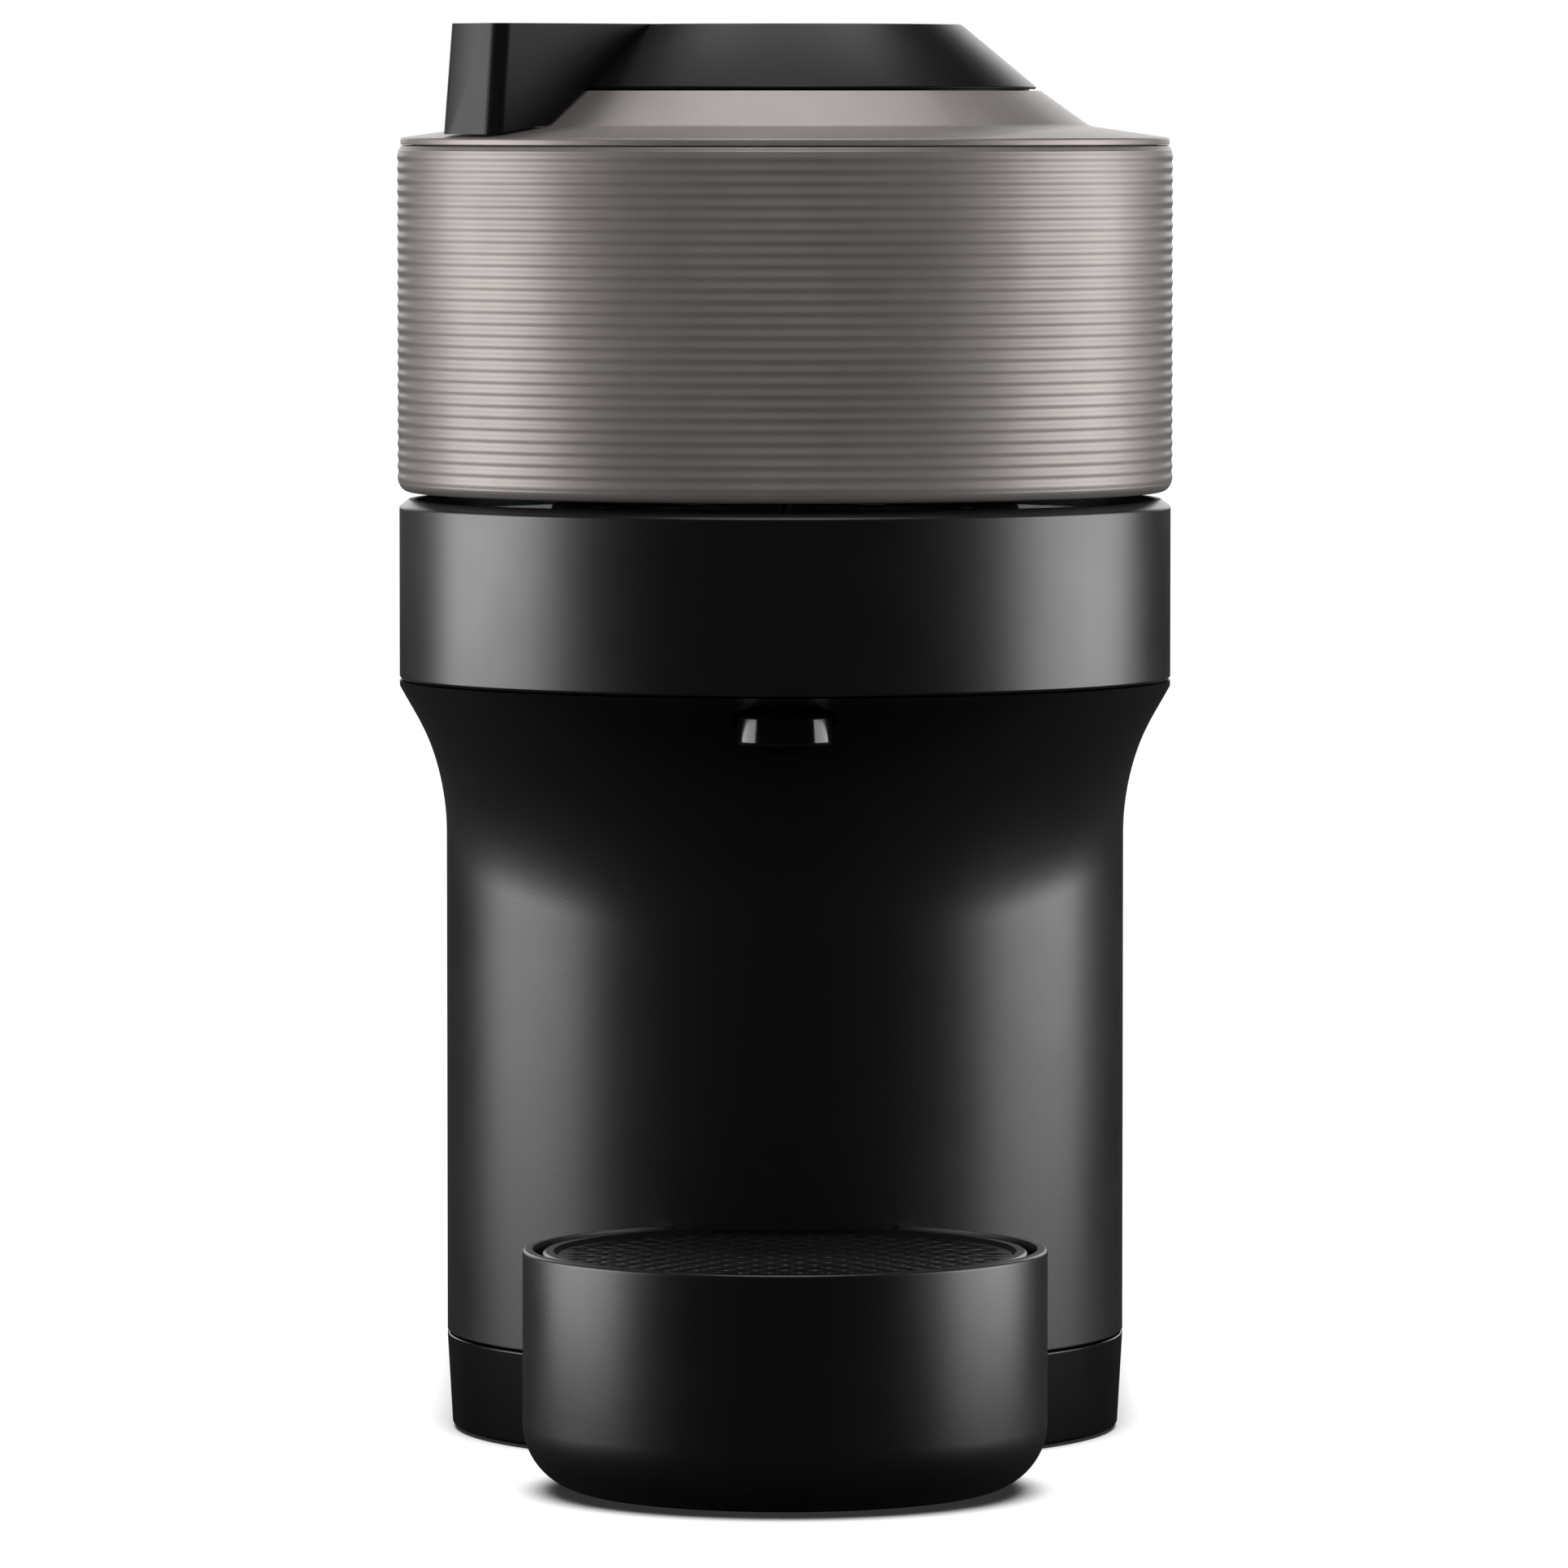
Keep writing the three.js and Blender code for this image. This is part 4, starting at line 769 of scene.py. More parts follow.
@dataclass
class Column:
    """The body's shell, with its flare under the drum, its base and its feet."""

    plan: BodyPlan
    wall: float = 2.5
    flare_side: float = 29.1
    flare_front: float = 45.0
    flare_bend: float = 0.8
    flare_end: float = 0.96
    levels: int = 26
    seam_edge: float = 0.25
    skirt_taper: float = 0.9
    skirt_edge: float = 0.7
    skirt_steps: int = 6
    panel_gap: float = 0.3
    bore_top: float = 190.0
    overshoot: float = 9.0
    slot_rows: int = 9
    slot_pitch: float = 6.5
    slot_half: Pair = (24.0, 1.1)

    def side_flare(self, t: float) -> float:
        """Returns how far the side has opened at share t of its height: a bend, then straight."""
        reached = min(t / self.flare_end, 1.0)
        bent = min(reached, self.flare_bend)
        whole = self.flare_bend**2 + 2 * self.flare_bend * (1 - self.flare_bend)
        return (bent**2 + 2 * self.flare_bend * (reached - bent)) / whole

    def surface(self, inset_by: float, bottom: float, top: float, lift: float) -> list:
        """Returns the rings of the column's flared surface.

        Args:
            inset_by: How far inside the outer face it lies.
            bottom: The lowest ring's height.
            top: Where the flare ends.
            lift: How far the cove at the front is raised.
        """
        low = self.plan.outline(inset_by)
        high = self.plan.head_outline(inset_by)
        rings = [[(x, y, bottom) for x, y in low]]
        for level in range(self.levels + 1):
            t = level / self.levels
            ring = []
            for (x, y), (hx, hy) in zip(low, high):
                forward = min(max((self.plan.widest_y - y) / self.plan.bulge, 0.0), 1.0)
                height = self.flare_side + (self.flare_front - self.flare_side) * forward
                cove = 1 - math.sqrt(1 - t**2)
                side = self.side_flare(t)
                share = side + (cove - side) * forward**0.7
                z = top - height * (1 - t) + lift * forward
                if level == self.levels:
                    z = top + lift
                ring.append((x + (hx - x) * share, y + (hy - y) * share, z))
            rings.append(ring)
        return rings

    def shell(self) -> bpy.types.Object:
        """Makes the body's shell: flared column, walls behind the head, and the rear window."""
        box, ring = Box.of("body_shell"), Box.of("lower_head_ring")
        bottom, flare_top = box.low.z, ring.low.z - 0.3
        draft = Draft()
        outer = self.surface(0.0, bottom + self.seam_edge, flare_top, 0.0)
        edge = inset(self.plan.outline(), self.seam_edge)
        draft.loft([[(x, y, bottom) for x, y in edge], *outer])
        body = draft.build("column_skin", Finishes.SATIN_BLACK, 40)
        hollow = Draft()
        inner = self.surface(self.wall, bottom - 5, flare_top, self.wall)
        hollow.loft([*inner, [(x, y, flare_top + 9) for x, y, _ in inner[-1]]])
        carve(body, hollow)
        carve(body, self.upper_walls(flare_top, box.high.z), "UNION")
        spout = Box.of("spout")
        carve(body, plug(spout.radius + 0.4, (bottom, self.bore_top), spout.centre.y, 96))
        panel, gap = Box.of("rear_panel"), self.panel_gap
        frame = rounded_rectangle(
            panel.low.x - gap, panel.high.x + gap, panel.low.z - gap, panel.high.z + gap, 6
        )
        carve(body, Draft().prism(frame, 1, (panel.high.y + self.overshoot, panel.low.y - self.overshoot)))
        return finished(body, 0.2)

    def upper_walls(self, z0: float, z1: float) -> Draft:
        """Makes the U of wall that stands behind the drum, from z0 up to z1."""
        clear = self.plan.ring_r + 0.6
        rows = []
        for inset_by in (0.0, self.wall):
            half = self.plan.half - inset_by
            start = self.plan.ring_y + math.sqrt(clear**2 - half**2)
            rear = self.plan.rear(inset_by, self.plan.back)
            rows.append([(half, start), *rear, (-half, start)])
        return Draft().prism(rows[0] + rows[1][::-1], 2, (z0 - 0.5, z1))

    def base(self) -> bpy.types.Object:
        """Makes the base: a tapered skirt with a round lower edge."""
        box = Box.of("base_foot")
        levels: list[Pair] = []
        for i in range(self.skirt_steps + 1):
            a = math.radians(90 * i / self.skirt_steps)
            height = box.low.z + self.skirt_edge * (1 - math.cos(a))
            levels.append((height, self.skirt_taper + self.skirt_edge * (1 - math.sin(a))))
        levels += [(box.high.z - self.seam_edge, 0.0), (box.high.z, self.seam_edge)]
        outline = self.plan.outline(0.0, box.high.y)
        draft = Draft()
        draft.loft([[(x, y, z) for x, y in inset(outline, back)] for z, back in levels])
        base = draft.build("base_skirt", Finishes.BASE_BLACK, 40)
        for name in ("front_left", "front_right", "rear_left", "rear_right"):
            foot = Box.of(f"foot_{name}")
            ends = (-1, foot.high.z + 0.2)
            carve(base, plug(foot.radius + 0.6, ends, foot.centre.y, 64, foot.centre.x))
        return finished(base, 0.15)

    def foot(self, node: str) -> bpy.types.Object:
        """Makes one rubber foot with grip rings under it."""
        box = Box.of(node)
        r, top = box.radius, box.high.z
        corners = [
            (0, 0.5, 0), (1.6, 0.5, 0.2), (1.9, 0, 0.2), (3.0, 0, 0.2), (3.3, 0.5, 0.2), (4.0, 0.5, 0.2),
            (4.3, 0, 0.2), (r - 0.8, 0, 0.8), (r, 1.4, 0.5), (r, top, 0.3), (0, top, 0),
        ]
        profile = filleted(corners, 4)
        return turned(f"{node}_pad", Finishes.RUBBER, profile, box.centre.y, 72, box.centre.x)

    def grille(self) -> bpy.types.Object:
        """Makes the rear panel with its rows of vent slots."""
        box = Box.of("rear_panel")
        frame = rounded_rectangle(box.low.x, box.high.x, box.low.z, box.high.z, 5.7)
        panel = Draft().prism(frame, 1, (box.high.y, box.low.y)).build("rear_grille", Finishes.SATIN_BLACK)
        slots = Draft()
        half, tall = self.slot_half
        for row in range(self.slot_rows):
            z = box.centre.z + (row - (self.slot_rows - 1) / 2) * self.slot_pitch
            slot = rounded_rectangle(-half, half, z - tall, z + tall, tall - 0.01, 6)
            slots.prism(slot, 1, (box.high.y + 3, box.low.y - 3))
        carve(panel, slots)
        return finished(panel, 0.3)

    def make(self) -> None:
        """Makes and places every piece of the column."""
        place(self.shell(), "machine", "satin_black", "body_shell")
        place(self.base(), "machine", "satin_black", "base_foot")
        place(self.grille(), "machine", "satin_black", "rear_panel")
        for row in ("front", "rear"):
            for side in ("left", "right"):
                node = f"foot_{row}_{side}"
                place(self.foot(node), "machine", "rubber", node)


def finished(target: bpy.types.Object, edge_mm: float, angle_deg: float = 38.0) -> bpy.types.Object:
    """Rounds a carved piece's edges and sets its smooth shading again."""
    mesh = target.data
    mesh.polygons.foreach_set("use_smooth", [True] * len(mesh.polygons))
    mesh.set_sharp_from_angle(angle=math.radians(angle_deg))
    soften(target, edge_mm, angle_deg)
    return target


# ---------------------------------------------------------------- head


@dataclass
class DrumHead:
    """The hinged drum: ribbed shell, brimmed cover, and what shows under it when it is open."""

    rib_count: int = 29
    rib_depth: float = 0.18
    rib_points: int = 10
    plain_top: float = 0.9
    plain_bottom: float = 1.5
    wall: float = 2.4
    cone_r: float = 44.8
    steps: int = 288

    def drum(self) -> bpy.types.Object:
        """Makes the ribbed shell. The ribs are soft waves, an even pitch apart."""
        box = Box.of("ribbed_shell")
        r, low, high = box.radius, box.low.z, box.high.z
        first, last = low + self.plain_bottom, high - self.plain_top
        inner = r - self.wall
        profile: Outline = [(inner, low + 0.6)]
        profile += arc(r - 2.1, low + 2.0, 1.9, 2.0, 270, 352, 7)
        count = self.rib_count * self.rib_points
        for i in range(count + 1):
            wave = 0.5 - 0.5 * math.cos(2 * math.pi * i / self.rib_points)
            profile.append((r - self.rib_depth * (1 - wave), first + (last - first) * i / count))
        profile += arc(r - 1.1, high - 0.7, 0.7, 0.7, 8, 90, 5)
        profile.append((inner, high))
        return turned("ribbed_drum", Finishes.TITANIUM, profile, box.centre.y, self.steps)

    def cover(self) -> bpy.types.Object:
        """Makes the cover: a brim that slopes up, a hollow blend, and the cone under the lever."""
        box, drum = Box.of("top_cover"), Box.of("ribbed_shell")
        bottom = drum.high.z + 0.12
        rim_r, top = drum.radius - 0.6, box.high.z
        cone_r, seat = self.cone_r, top - 1.9
        bore = Box.of("lever_shaft").radius + 0.8
        corners = [
            (bore, seat - 2.2, 0), (cone_r - 2, seat - 2.2, 0.5), (cone_r + 6.7, bottom, 1),
            (rim_r - 4, bottom, 0), (rim_r - 4, bottom - 5, 0.3), (rim_r - 2.2, bottom - 5, 0.3),
            (rim_r - 2.2, bottom, 0.2), (rim_r, bottom, 0.15),
            (rim_r, bottom + 1.2, 0.5), (cone_r + 8.6, top - 6.15, 3.5), (cone_r, top, 0.15),
            (cone_r - 0.8, top, 0.1), (cone_r - 0.8, seat, 0.1), (bore, seat, 0),
        ]
        return turned("cover_cone", Finishes.TITANIUM, filleted(corners, 8), box.centre.y, self.steps)

    def underside(self) -> None:
        """Rounds the plate's edges and makes the piercing plate under the drum."""
        soften(bpy.data.objects["head_underplate"], 0.4)
        disc, low = Box.of("piercing_plate"), Box.of("head_underplate").low.z
        r, needle = disc.radius, disc.low.z
        corners = [
            (0, needle, 0), (0.9, needle + 1.6, 0.2), (1.5, low - 0.6, 0.6), (8, low - 0.6, 0.3),
            (9, low + 0.1, 0.3), (12, low + 0.1, 0.3), (13, low - 0.6, 0.3), (r - 0.2, low - 0.6, 0.4),
            (r, low + 1.8, 0.3), (10, low + 1.8, 0.2), (10, disc.high.z, 0.4), (0, disc.high.z, 0),
        ]
        made = turned("piercing_disc", Finishes.STEEL, filleted(corners, 4), disc.centre.y, 128)
        place(made, "piercer", "steel", "piercing_plate")

    def make(self) -> None:
        """Makes and places every piece of the head."""
        place(self.drum(), "head", "titanium", "ribbed_shell")
        place(self.cover(), "head", "titanium", "top_cover")
        self.underside()


@dataclass
class LockLever:
    """The lever on top: a flat-topped cone with a wedge handle, a lit ring and the brew key."""

    handle_r: float = 66.8
    handle_from: float = 24.0
    handle_to: float = 41.0
    back_corner: float = 5.0
    front_corner: float = 2.6
    draft_mm: float = 1.9
    clearance: float = 0.35
    cone_r: float = 44.5
    top_r: float = 30.9
    skin: float = 2.6
    lip_drop: float = 1.0
    lip_inset: float = 1.7

    def reach(self, degrees: float, r: float, y: float) -> Pair:
        """Returns the place at a radius, so many degrees forward of straight left."""
        a = math.radians(degrees)
        return (-r * math.cos(a), y - r * math.sin(a))

    def handle_outline(self, y: float, grow: float) -> Outline:
        """Returns the handle's outline from above, its end moved out by grow."""
        end = self.handle_r + grow
        rear, fore = self.back_corner, self.front_corner
        back = self.reach(self.handle_from + math.degrees(rear / (end - rear)), end - rear, y)
        front = self.reach(self.handle_to - math.degrees(fore / (end - fore)), end - fore, y)
        start, stop = self.handle_from, self.handle_to
        return [
            self.reach(stop, self.top_r - 8, y), self.reach(start, self.top_r - 8, y),
            *arc(back[0], back[1], rear, rear, 90 + start, 180 + start, 10),
            *arc(front[0], front[1], fore, fore, 180 + stop, 270 + stop, 10),
        ]

    def grip(self) -> bpy.types.Object:
        """Makes the cone and its handle as one moulding."""
        box, key = Box.of("lever_turret"), Box.of("brew_button")
        y, top = key.centre.y, box.high.z
        foot = Box.of("top_cover").high.z + 0.3
        pocket, lip = top - 6, foot - self.lip_drop
        lamp_r, key_r = Box.of("light_ring").radius, key.radius + 0.5
        corners = [
            (0, pocket - 2, 0), (self.top_r - 2, pocket - 2, 1),
            (self.cone_r - self.skin * 1.6, lip, 0.2), (self.cone_r - self.lip_inset, lip, 0.2),
            (self.cone_r - self.lip_inset, foot, 0.1), (self.cone_r, foot, 0.35), (self.top_r, top, 0.7),
            (lamp_r + 0.3, top, 0.2), (lamp_r + 0.3, top - 2, 0), (lamp_r - 2.3, top - 2, 0),
            (lamp_r - 2.3, top, 0.2), (key_r, top, 0.3), (key_r, pocket, 0.3), (0, pocket, 0),
        ]
        grip = turned("lever_grip", Finishes.LEVER_BLACK, filleted(corners, 5), y, 192)
        carve(grip, self.handle(y, foot, top), "UNION")
        return finished(grip, 0.55, 34)

    def handle(self, y: float, foot: float, top: float) -> bpy.types.Object:
        """Makes the wedge, cut away below to follow the cover."""
        low, gap = foot - 12, self.clearance
        ends = ((low, 0.0), (top, -self.draft_mm))
        draft = Draft()
        draft.loft([[(x, yy, z) for x, yy in self.handle_outline(y, grow)] for z, grow in ends])
        wedge = draft.build("wedge", Finishes.LEVER_BLACK)
        beyond = self.handle_r + 30
        corners = [
            (0, low - 9, 0), (beyond, low - 9, 0), (beyond, foot - 9.0 + gap, 0),
            (self.handle_r + 1.0, foot - 8.35 + gap, 0), (self.cone_r + 9.15, foot - 6.45 + gap, 3.5),
            (self.cone_r + 0.75, foot + gap, 0), (self.cone_r - self.skin, foot, 0),
            (self.top_r - 2, top - 8, 0), (0, top - 8, 0),
        ]
        return carve(wedge, Draft().revolve(filleted(corners, 8), y))

    def lamp(self) -> bpy.types.Object:
        """Makes the ring of light round the key."""
        box = Box.of("light_ring")
        r, low, high = box.radius, box.low.z, box.high.z
        corners = [(r - 2, low, 0), (r, low, 0), (r, high, 0.4), (r - 2, high, 0.4)]
        return turned("lever_lamp", Finishes.LAMP, filleted(corners, 4), box.centre.y, 128)

    def key(self) -> bpy.types.Object:
        """Makes the brew key with its dished top."""
        box = Box.of("brew_button")
        r, low, high = box.radius, box.low.z, box.high.z
        corners = [
            (0, low, 0), (r - 0.2, low, 0.3), (r, high - 0.5, 0.4), (r - 0.9, high, 0.5),
            (r - 3.5, high - 0.35, 4.0), (0, high - 0.95, 0),
        ]
        return turned("brew_key", Finishes.GLOSS_BLACK, filleted(corners, 5), box.centre.y, 128)

    def make(self) -> None:
        """Makes and places every piece of the lever."""
        place(self.grip(), "lever", "lever_black", "lever_turret")
        place(self.lamp(), "lever", "lamp", "light_ring")
        place(self.key(), "button", "gloss_black", "brew_button")


@dataclass
class BrewChamber:
    """The fixed lower half of the head: its band, the spinning cup, deck, seal and spout."""

    wall: float = 2.5
    chamfer: float = 1.3
    spout_bore: float = 3.0

    def band(self) -> bpy.types.Object:
        """Makes the smooth black band with its bevelled top."""
        box = Box.of("lower_head_ring")
        r, low, high = box.radius, box.low.z, box.high.z
        corners = [
            (r - self.wall, low, 0), (r - 0.35, low, 0.3), (r, low + 0.45, 0.4),
            (r, high - self.chamfer, 0.8), (r - self.chamfer - 0.4, high, 0.5),
            (r - self.wall - 0.4, high, 0.2), (r - self.wall, high - 0.6, 0.2),
        ]
        return turned("brew_band", Finishes.SATIN_BLACK, filleted(corners), box.centre.y, 288)

    def spout(self) -> bpy.types.Object:
        """Makes the polished spout: a round bead under a waist."""
        box = Box.of("spout")
        r, tip, top = box.radius, box.low.z, box.high.z
        bore = self.spout_bore
        corners = [
            (bore, tip + 1.2, 0.3), (r - 3.6, tip, 0.6), (r - 0.5, tip + 1.6, 0.3),
            (r - 0.1, tip + 1.9, 0.3), (r, tip + 2.4, 0.5), (r - 0.4, tip + 6.8, 0.8),
            (r - 3.0, tip + 8.0, 0.5), (r - 3.2, tip + 9.6, 1.0), (r - 3.2, top - 2, 0),
            (bore + 1.2, top, 0.2), (bore, top, 0.2),
        ]
        return turned("coffee_spout", Finishes.GLOSS_BLACK, filleted(corners, 8), box.centre.y, 160)

    def cup(self) -> bpy.types.Object:
        """Makes the cup that a capsule drops into."""
        box = Box.of("capsule_cup")
        y, low, high = box.centre.y, box.low.z, box.high.z
        r = Box.of("chamber_seal").radius - 6
        corners = [
            (3, low, 0), (12, low, 0.5), (12, low + 3, 0.5), (r + 2.5, low + 3, 0.4),
            (r + 2.5, low + 4.5, 0.3), (r, low + 4.5, 0.2), (r, high - 2, 0.3), (r + 0.6, high, 0.4),
            (r - 4.7, high, 0.5), (r - 5.5, high - 4, 1.0), (23, low + 8.5, 4), (9, low + 6.7, 2),
            (3, low + 6.5, 0.5),
        ]
        return turned("capsule_seat", Finishes.GREY_PLASTIC, filleted(corners, 5), y, 144)

    def flat_ring(
        self, node: str, name: str, finish: Finishes, inner: float, edge: float
    ) -> bpy.types.Object:
        """Makes a flat ring with round edges in a node's place."""
        box = Box.of(node)
        r, low, high = box.radius, box.low.z, box.high.z
        corners = [(inner, low, edge), (r, low, edge), (r, high, edge), (inner, high, edge)]
        return turned(name, finish, filleted(corners, 4), box.centre.y, 160)

    def make(self) -> None:
        """Makes and places every piece of the chamber."""
        place(self.band(), "machine", "satin_black", "lower_head_ring")
        place(self.spout(), "machine", "gloss_black", "spout")
        place(self.cup(), "cup", "grey_plastic", "capsule_cup")
        seal_r = Box.of("chamber_seal").radius
        deck = self.flat_ring("chamber_deck", "chamber_plate", Finishes.SATIN_BLACK, seal_r - 3.8, 0.4)
        place(deck, "machine", "satin_black", "chamber_deck")
        lip = self.flat_ring("chamber_seal", "chamber_gasket", Finishes.RUBBER, seal_r - 3, 0.6)
        place(lip, "machine", "rubber", "chamber_seal")


# ---------------------------------------------------------------- drip tray


@dataclass
class DripTray:
    """The round tray, notched to fit the column, and its perforated grid."""

    plan: BodyPlan
    fillet: float = 11.4
    foot_drop: float = 0.5
    wall: float = 1.7
    ledge: float = 2.5
    clear: float = 0.8
    bowl_r: float = 10.0
    dish: float = 0.7
    hole_pitch: float = 5.0
    hole_r: float = 1.25
    hole_flare: float = 0.35
    row_ratio: float = 0.866
    steps: int = 256

    def reach(self, angle: float, y0: float, grow: float) -> float:
        """Returns how far from (0, y0) a ray runs before it meets the column.

        Args:
            angle: The ray's direction in radians.
            y0: The tray's centre.
            grow: How far outside the column's face the stop lies.
        """
        a, b = self.plan.half + grow, self.plan.bulge + grow
        dx, dy = math.cos(angle), math.sin(angle)
        oy = y0 - self.plan.widest_y
        qa = (dx / a) ** 2 + (dy / b) ** 2
        qb = 2 * oy * dy / b**2
        qc = (oy / b) ** 2 - 1
        inside = qb * qb - 4 * qa * qc
        if inside < 0 or dy <= 0:
            return 1e6
        near = (-qb - math.sqrt(inside)) / (2 * qa)
        return near if near > 0 else 1e6

    def angles(self, y0: float, radius: float, grow: float) -> list[float]:
        """Returns the ring's directions, with the notch's two corners among them."""
        evenly = [2 * math.pi * i / self.steps for i in range(self.steps)]
        low, high = 0.0, math.pi / 2
        for _ in range(40):
            middle = (low + high) / 2
            if self.reach(middle, y0, grow) > radius:
                low = middle
            else:
                high = middle
        corners = [low, math.pi - low]
        kept = [a for a in evenly if min(abs(a - c) for c in corners) > math.pi / self.steps]
        return sorted(kept + corners)

    def notched(self, profile: Outline, y0: float, angles: list[float], grow: float) -> Draft:
        """Turns a profile about the tray's centre and cuts it back to clear the column."""
        stops = [self.reach(a, y0, grow) for a in angles]
        rings = []
        for r, z in profile:
            reached = [(a, min(r, stop)) for a, stop in zip(angles, stops)]
            rings.append([(r1 * math.cos(a), y0 + r1 * math.sin(a), z) for a, r1 in reached])
        draft = Draft()
        draft.loft(rings)
        return draft

    def tray(self) -> bpy.types.Object:
        """Makes the drum: a deep round lower edge, a thin rim and a ledge for the grid."""
        box = Box.of("drip_tray")
        r, low, high = box.radius, box.low.z - self.foot_drop, box.high.z
        y0 = box.low.y + r
        turns = self.angles(y0, r, self.clear)
        outer = [
            (0.5, low), *arc(r - self.fillet, low + self.fillet, self.fillet, self.fillet, 270, 360, 16),
            *arc(r - 0.7, high - 0.7, 0.7, 0.7, 0, 90, 4), (0.5, high),
        ]
        drum = self.notched(outer, y0, turns, self.clear).build("tray_drum", Finishes.SATIN_BLACK, 38)
        inner_r = r - self.wall
        low_r, floor, shelf = inner_r - self.ledge, low + 3, high - 3.1
        bowl_arc = arc(low_r - self.bowl_r, floor + self.bowl_r, self.bowl_r, self.bowl_r, 270, 360, 10)
        bowl = [(0.5, floor), *bowl_arc, (low_r, shelf + 0.2), (0.5, shelf + 0.2)]
        mouth = [(0.5, shelf), (inner_r, shelf), (inner_r, high + 4), (0.5, high + 4)]
        behind = self.clear + self.wall
        for profile, reach, grow in ((bowl, low_r, behind + 2), (mouth, inner_r, behind - 1)):
            carve(drum, self.notched(profile, y0, self.angles(y0, reach, grow), grow))
        return finished(drum, 0.2)

    def grid(self) -> bpy.types.Object:
        """Makes the grid: a slightly dished plate with a round rim and rows of holes."""
        box, tray = Box.of("drip_grid"), Box.of("drip_tray")
        y0 = tray.low.y + tray.radius
        r, low, high = box.radius, box.low.z, box.high.z
        grow = self.clear + self.wall - 0.5
        top = high - self.dish
        profile = [
            (0.5, low), (r - 0.3, low), (r, low + 0.3), (r, high - 0.4), (r - 0.4, high),
            (r - 1.8, high), (r - 2.6, top), (0.5, top),
        ]
        draft = self.notched(profile, y0, self.angles(y0, r, grow), grow)
        plate = draft.build("tray_grid", Finishes.SATIN_BLACK, 30)
        holes = Draft()
        pitch, limit = self.hole_pitch, r - 4.4
        rows = int(limit / (pitch * self.row_ratio)) + 1
        for row in range(-rows, rows + 1):
            for column in range(-rows - 1, rows + 2):
                x = (column + (0.5 if row % 2 else 0.0)) * pitch
                y = row * pitch * self.row_ratio
                away = math.hypot(x, y)
                if away > limit or away > self.reach(math.atan2(y, x), y0, grow) - 3.2:
                    continue
                ring, wide = (
                    arc(x, y0 + y, hole_r, hole_r, 0, 360, 12)[:-1]
                    for hole_r in (self.hole_r, self.hole_r + self.hole_flare)
                )
                levels = ((ring, low - 1), (ring, top - 0.35), (wide, top + 0.01), (wide, top + 1))
                holes.loft([[(px, py, z) for px, py in outline] for outline, z in levels])
        return carve(plate, holes)

    def make(self) -> None:
        """Makes and places the tray and its grid."""
        place(self.tray(), "tray", "satin_black", "drip_tray")
        place(self.grid(), "grid", "satin_black", "drip_grid")


# ---------------------------------------------------------------- deck, bin and tank


@dataclass
class RearDeck:
    """The deck behind the drum and the lift-out bin for used capsules."""

    plan: BodyPlan
    bin_corner: float = 14.0
    bay_gap: float = 0.8
    wall: float = 2.0
    mouth_half: float = 34.0

    def bin_outline(self, box: Box, inset_by: float = 0.0) -> Outline:
        """Returns a bin's round-cornered outline, moved inwards."""
        xs = (box.low.x + inset_by, box.high.x - inset_by)
        ys = (box.low.y + inset_by, box.high.y - inset_by)
        return rounded_rectangle(*xs, *ys, self.bin_corner - inset_by)

    def deck(self) -> bpy.types.Object:
        """Makes the deck with its bay and the round cut behind the drum."""
        bay, z1 = Box.of("capsule_bin"), Box.of("top_deck").high.z
        z0 = z1 - self.wall
        clear = self.plan.ring_r + 1.0
        turn = math.degrees(math.acos(self.plan.half / clear))
        front = arc(0, self.plan.ring_y, clear, clear, 180 - turn, turn, 60)
        outline = [*self.plan.rear(0.0, self.plan.back), *front]
        deck = slab(outline, z0, z1, top=0.6).build("deck_plate", Finishes.SATIN_BLACK, 40)
        carve(deck, slab(self.bin_outline(bay, -self.bay_gap), z0 - 5, z1 + 5))
        return finished(deck, 0.3)

    def bucket(self) -> bpy.types.Object:
        """Makes the bin's bucket with a round bottom edge."""
        box, w = Box.of("capsule_bin"), self.wall
        outer = slab(self.bin_outline(box), box.low.z, box.high.z, top=0.5, bottom=3.0)
        bucket = outer.build("bin_bucket", Finishes.SATIN_BLACK)
        carve(bucket, slab(self.bin_outline(box, w), box.low.z + w, box.high.z + 4, bottom=2.0))
        return finished(bucket, 0.25)

    def cowl(self) -> bpy.types.Object:
        """Makes the bin's hood: a shallow dome with a mouth for the capsules."""
        box, bin_box = Box.of("bin_hood"), Box.of("capsule_bin")
        outer = rounded_rectangle(box.low.x, box.high.x, box.low.y, box.high.y, self.bin_corner + 3, 16)
        z0 = Box.of("top_deck").high.z + 0.3
        cowl = slab(outer, z0, box.high.z, top=4.6, bottom=0.3).build("bin_cowl", Finishes.SATIN_BLACK)
        inner = inset(self.bin_outline(bin_box), 2.3)
        carve(cowl, slab(inner, box.low.z, z0 + 1), "UNION")
        carve(cowl, slab(inset(inner, 1.8), box.low.z - 3, z0 + 3.3, top=2.0))
        half, front = self.mouth_half, bin_box.low.y + 4.2
        carve(cowl, slab(rounded_rectangle(-half, half, front, bin_box.centre.y, 10), z0 - 9, z0 + 20))
        return finished(cowl, 0.5)

    def make(self) -> None:
        """Makes and places the deck, the bin and its hood."""
        place(self.deck(), "machine", "satin_black", "top_deck")
        place(self.bucket(), "bin", "satin_black", "capsule_bin")
        place(self.cowl(), "bin", "satin_black", "bin_hood")
        for node in ("hinge_bracket", "bin_shelf"):
            soften(bpy.data.objects[node], 0.4)


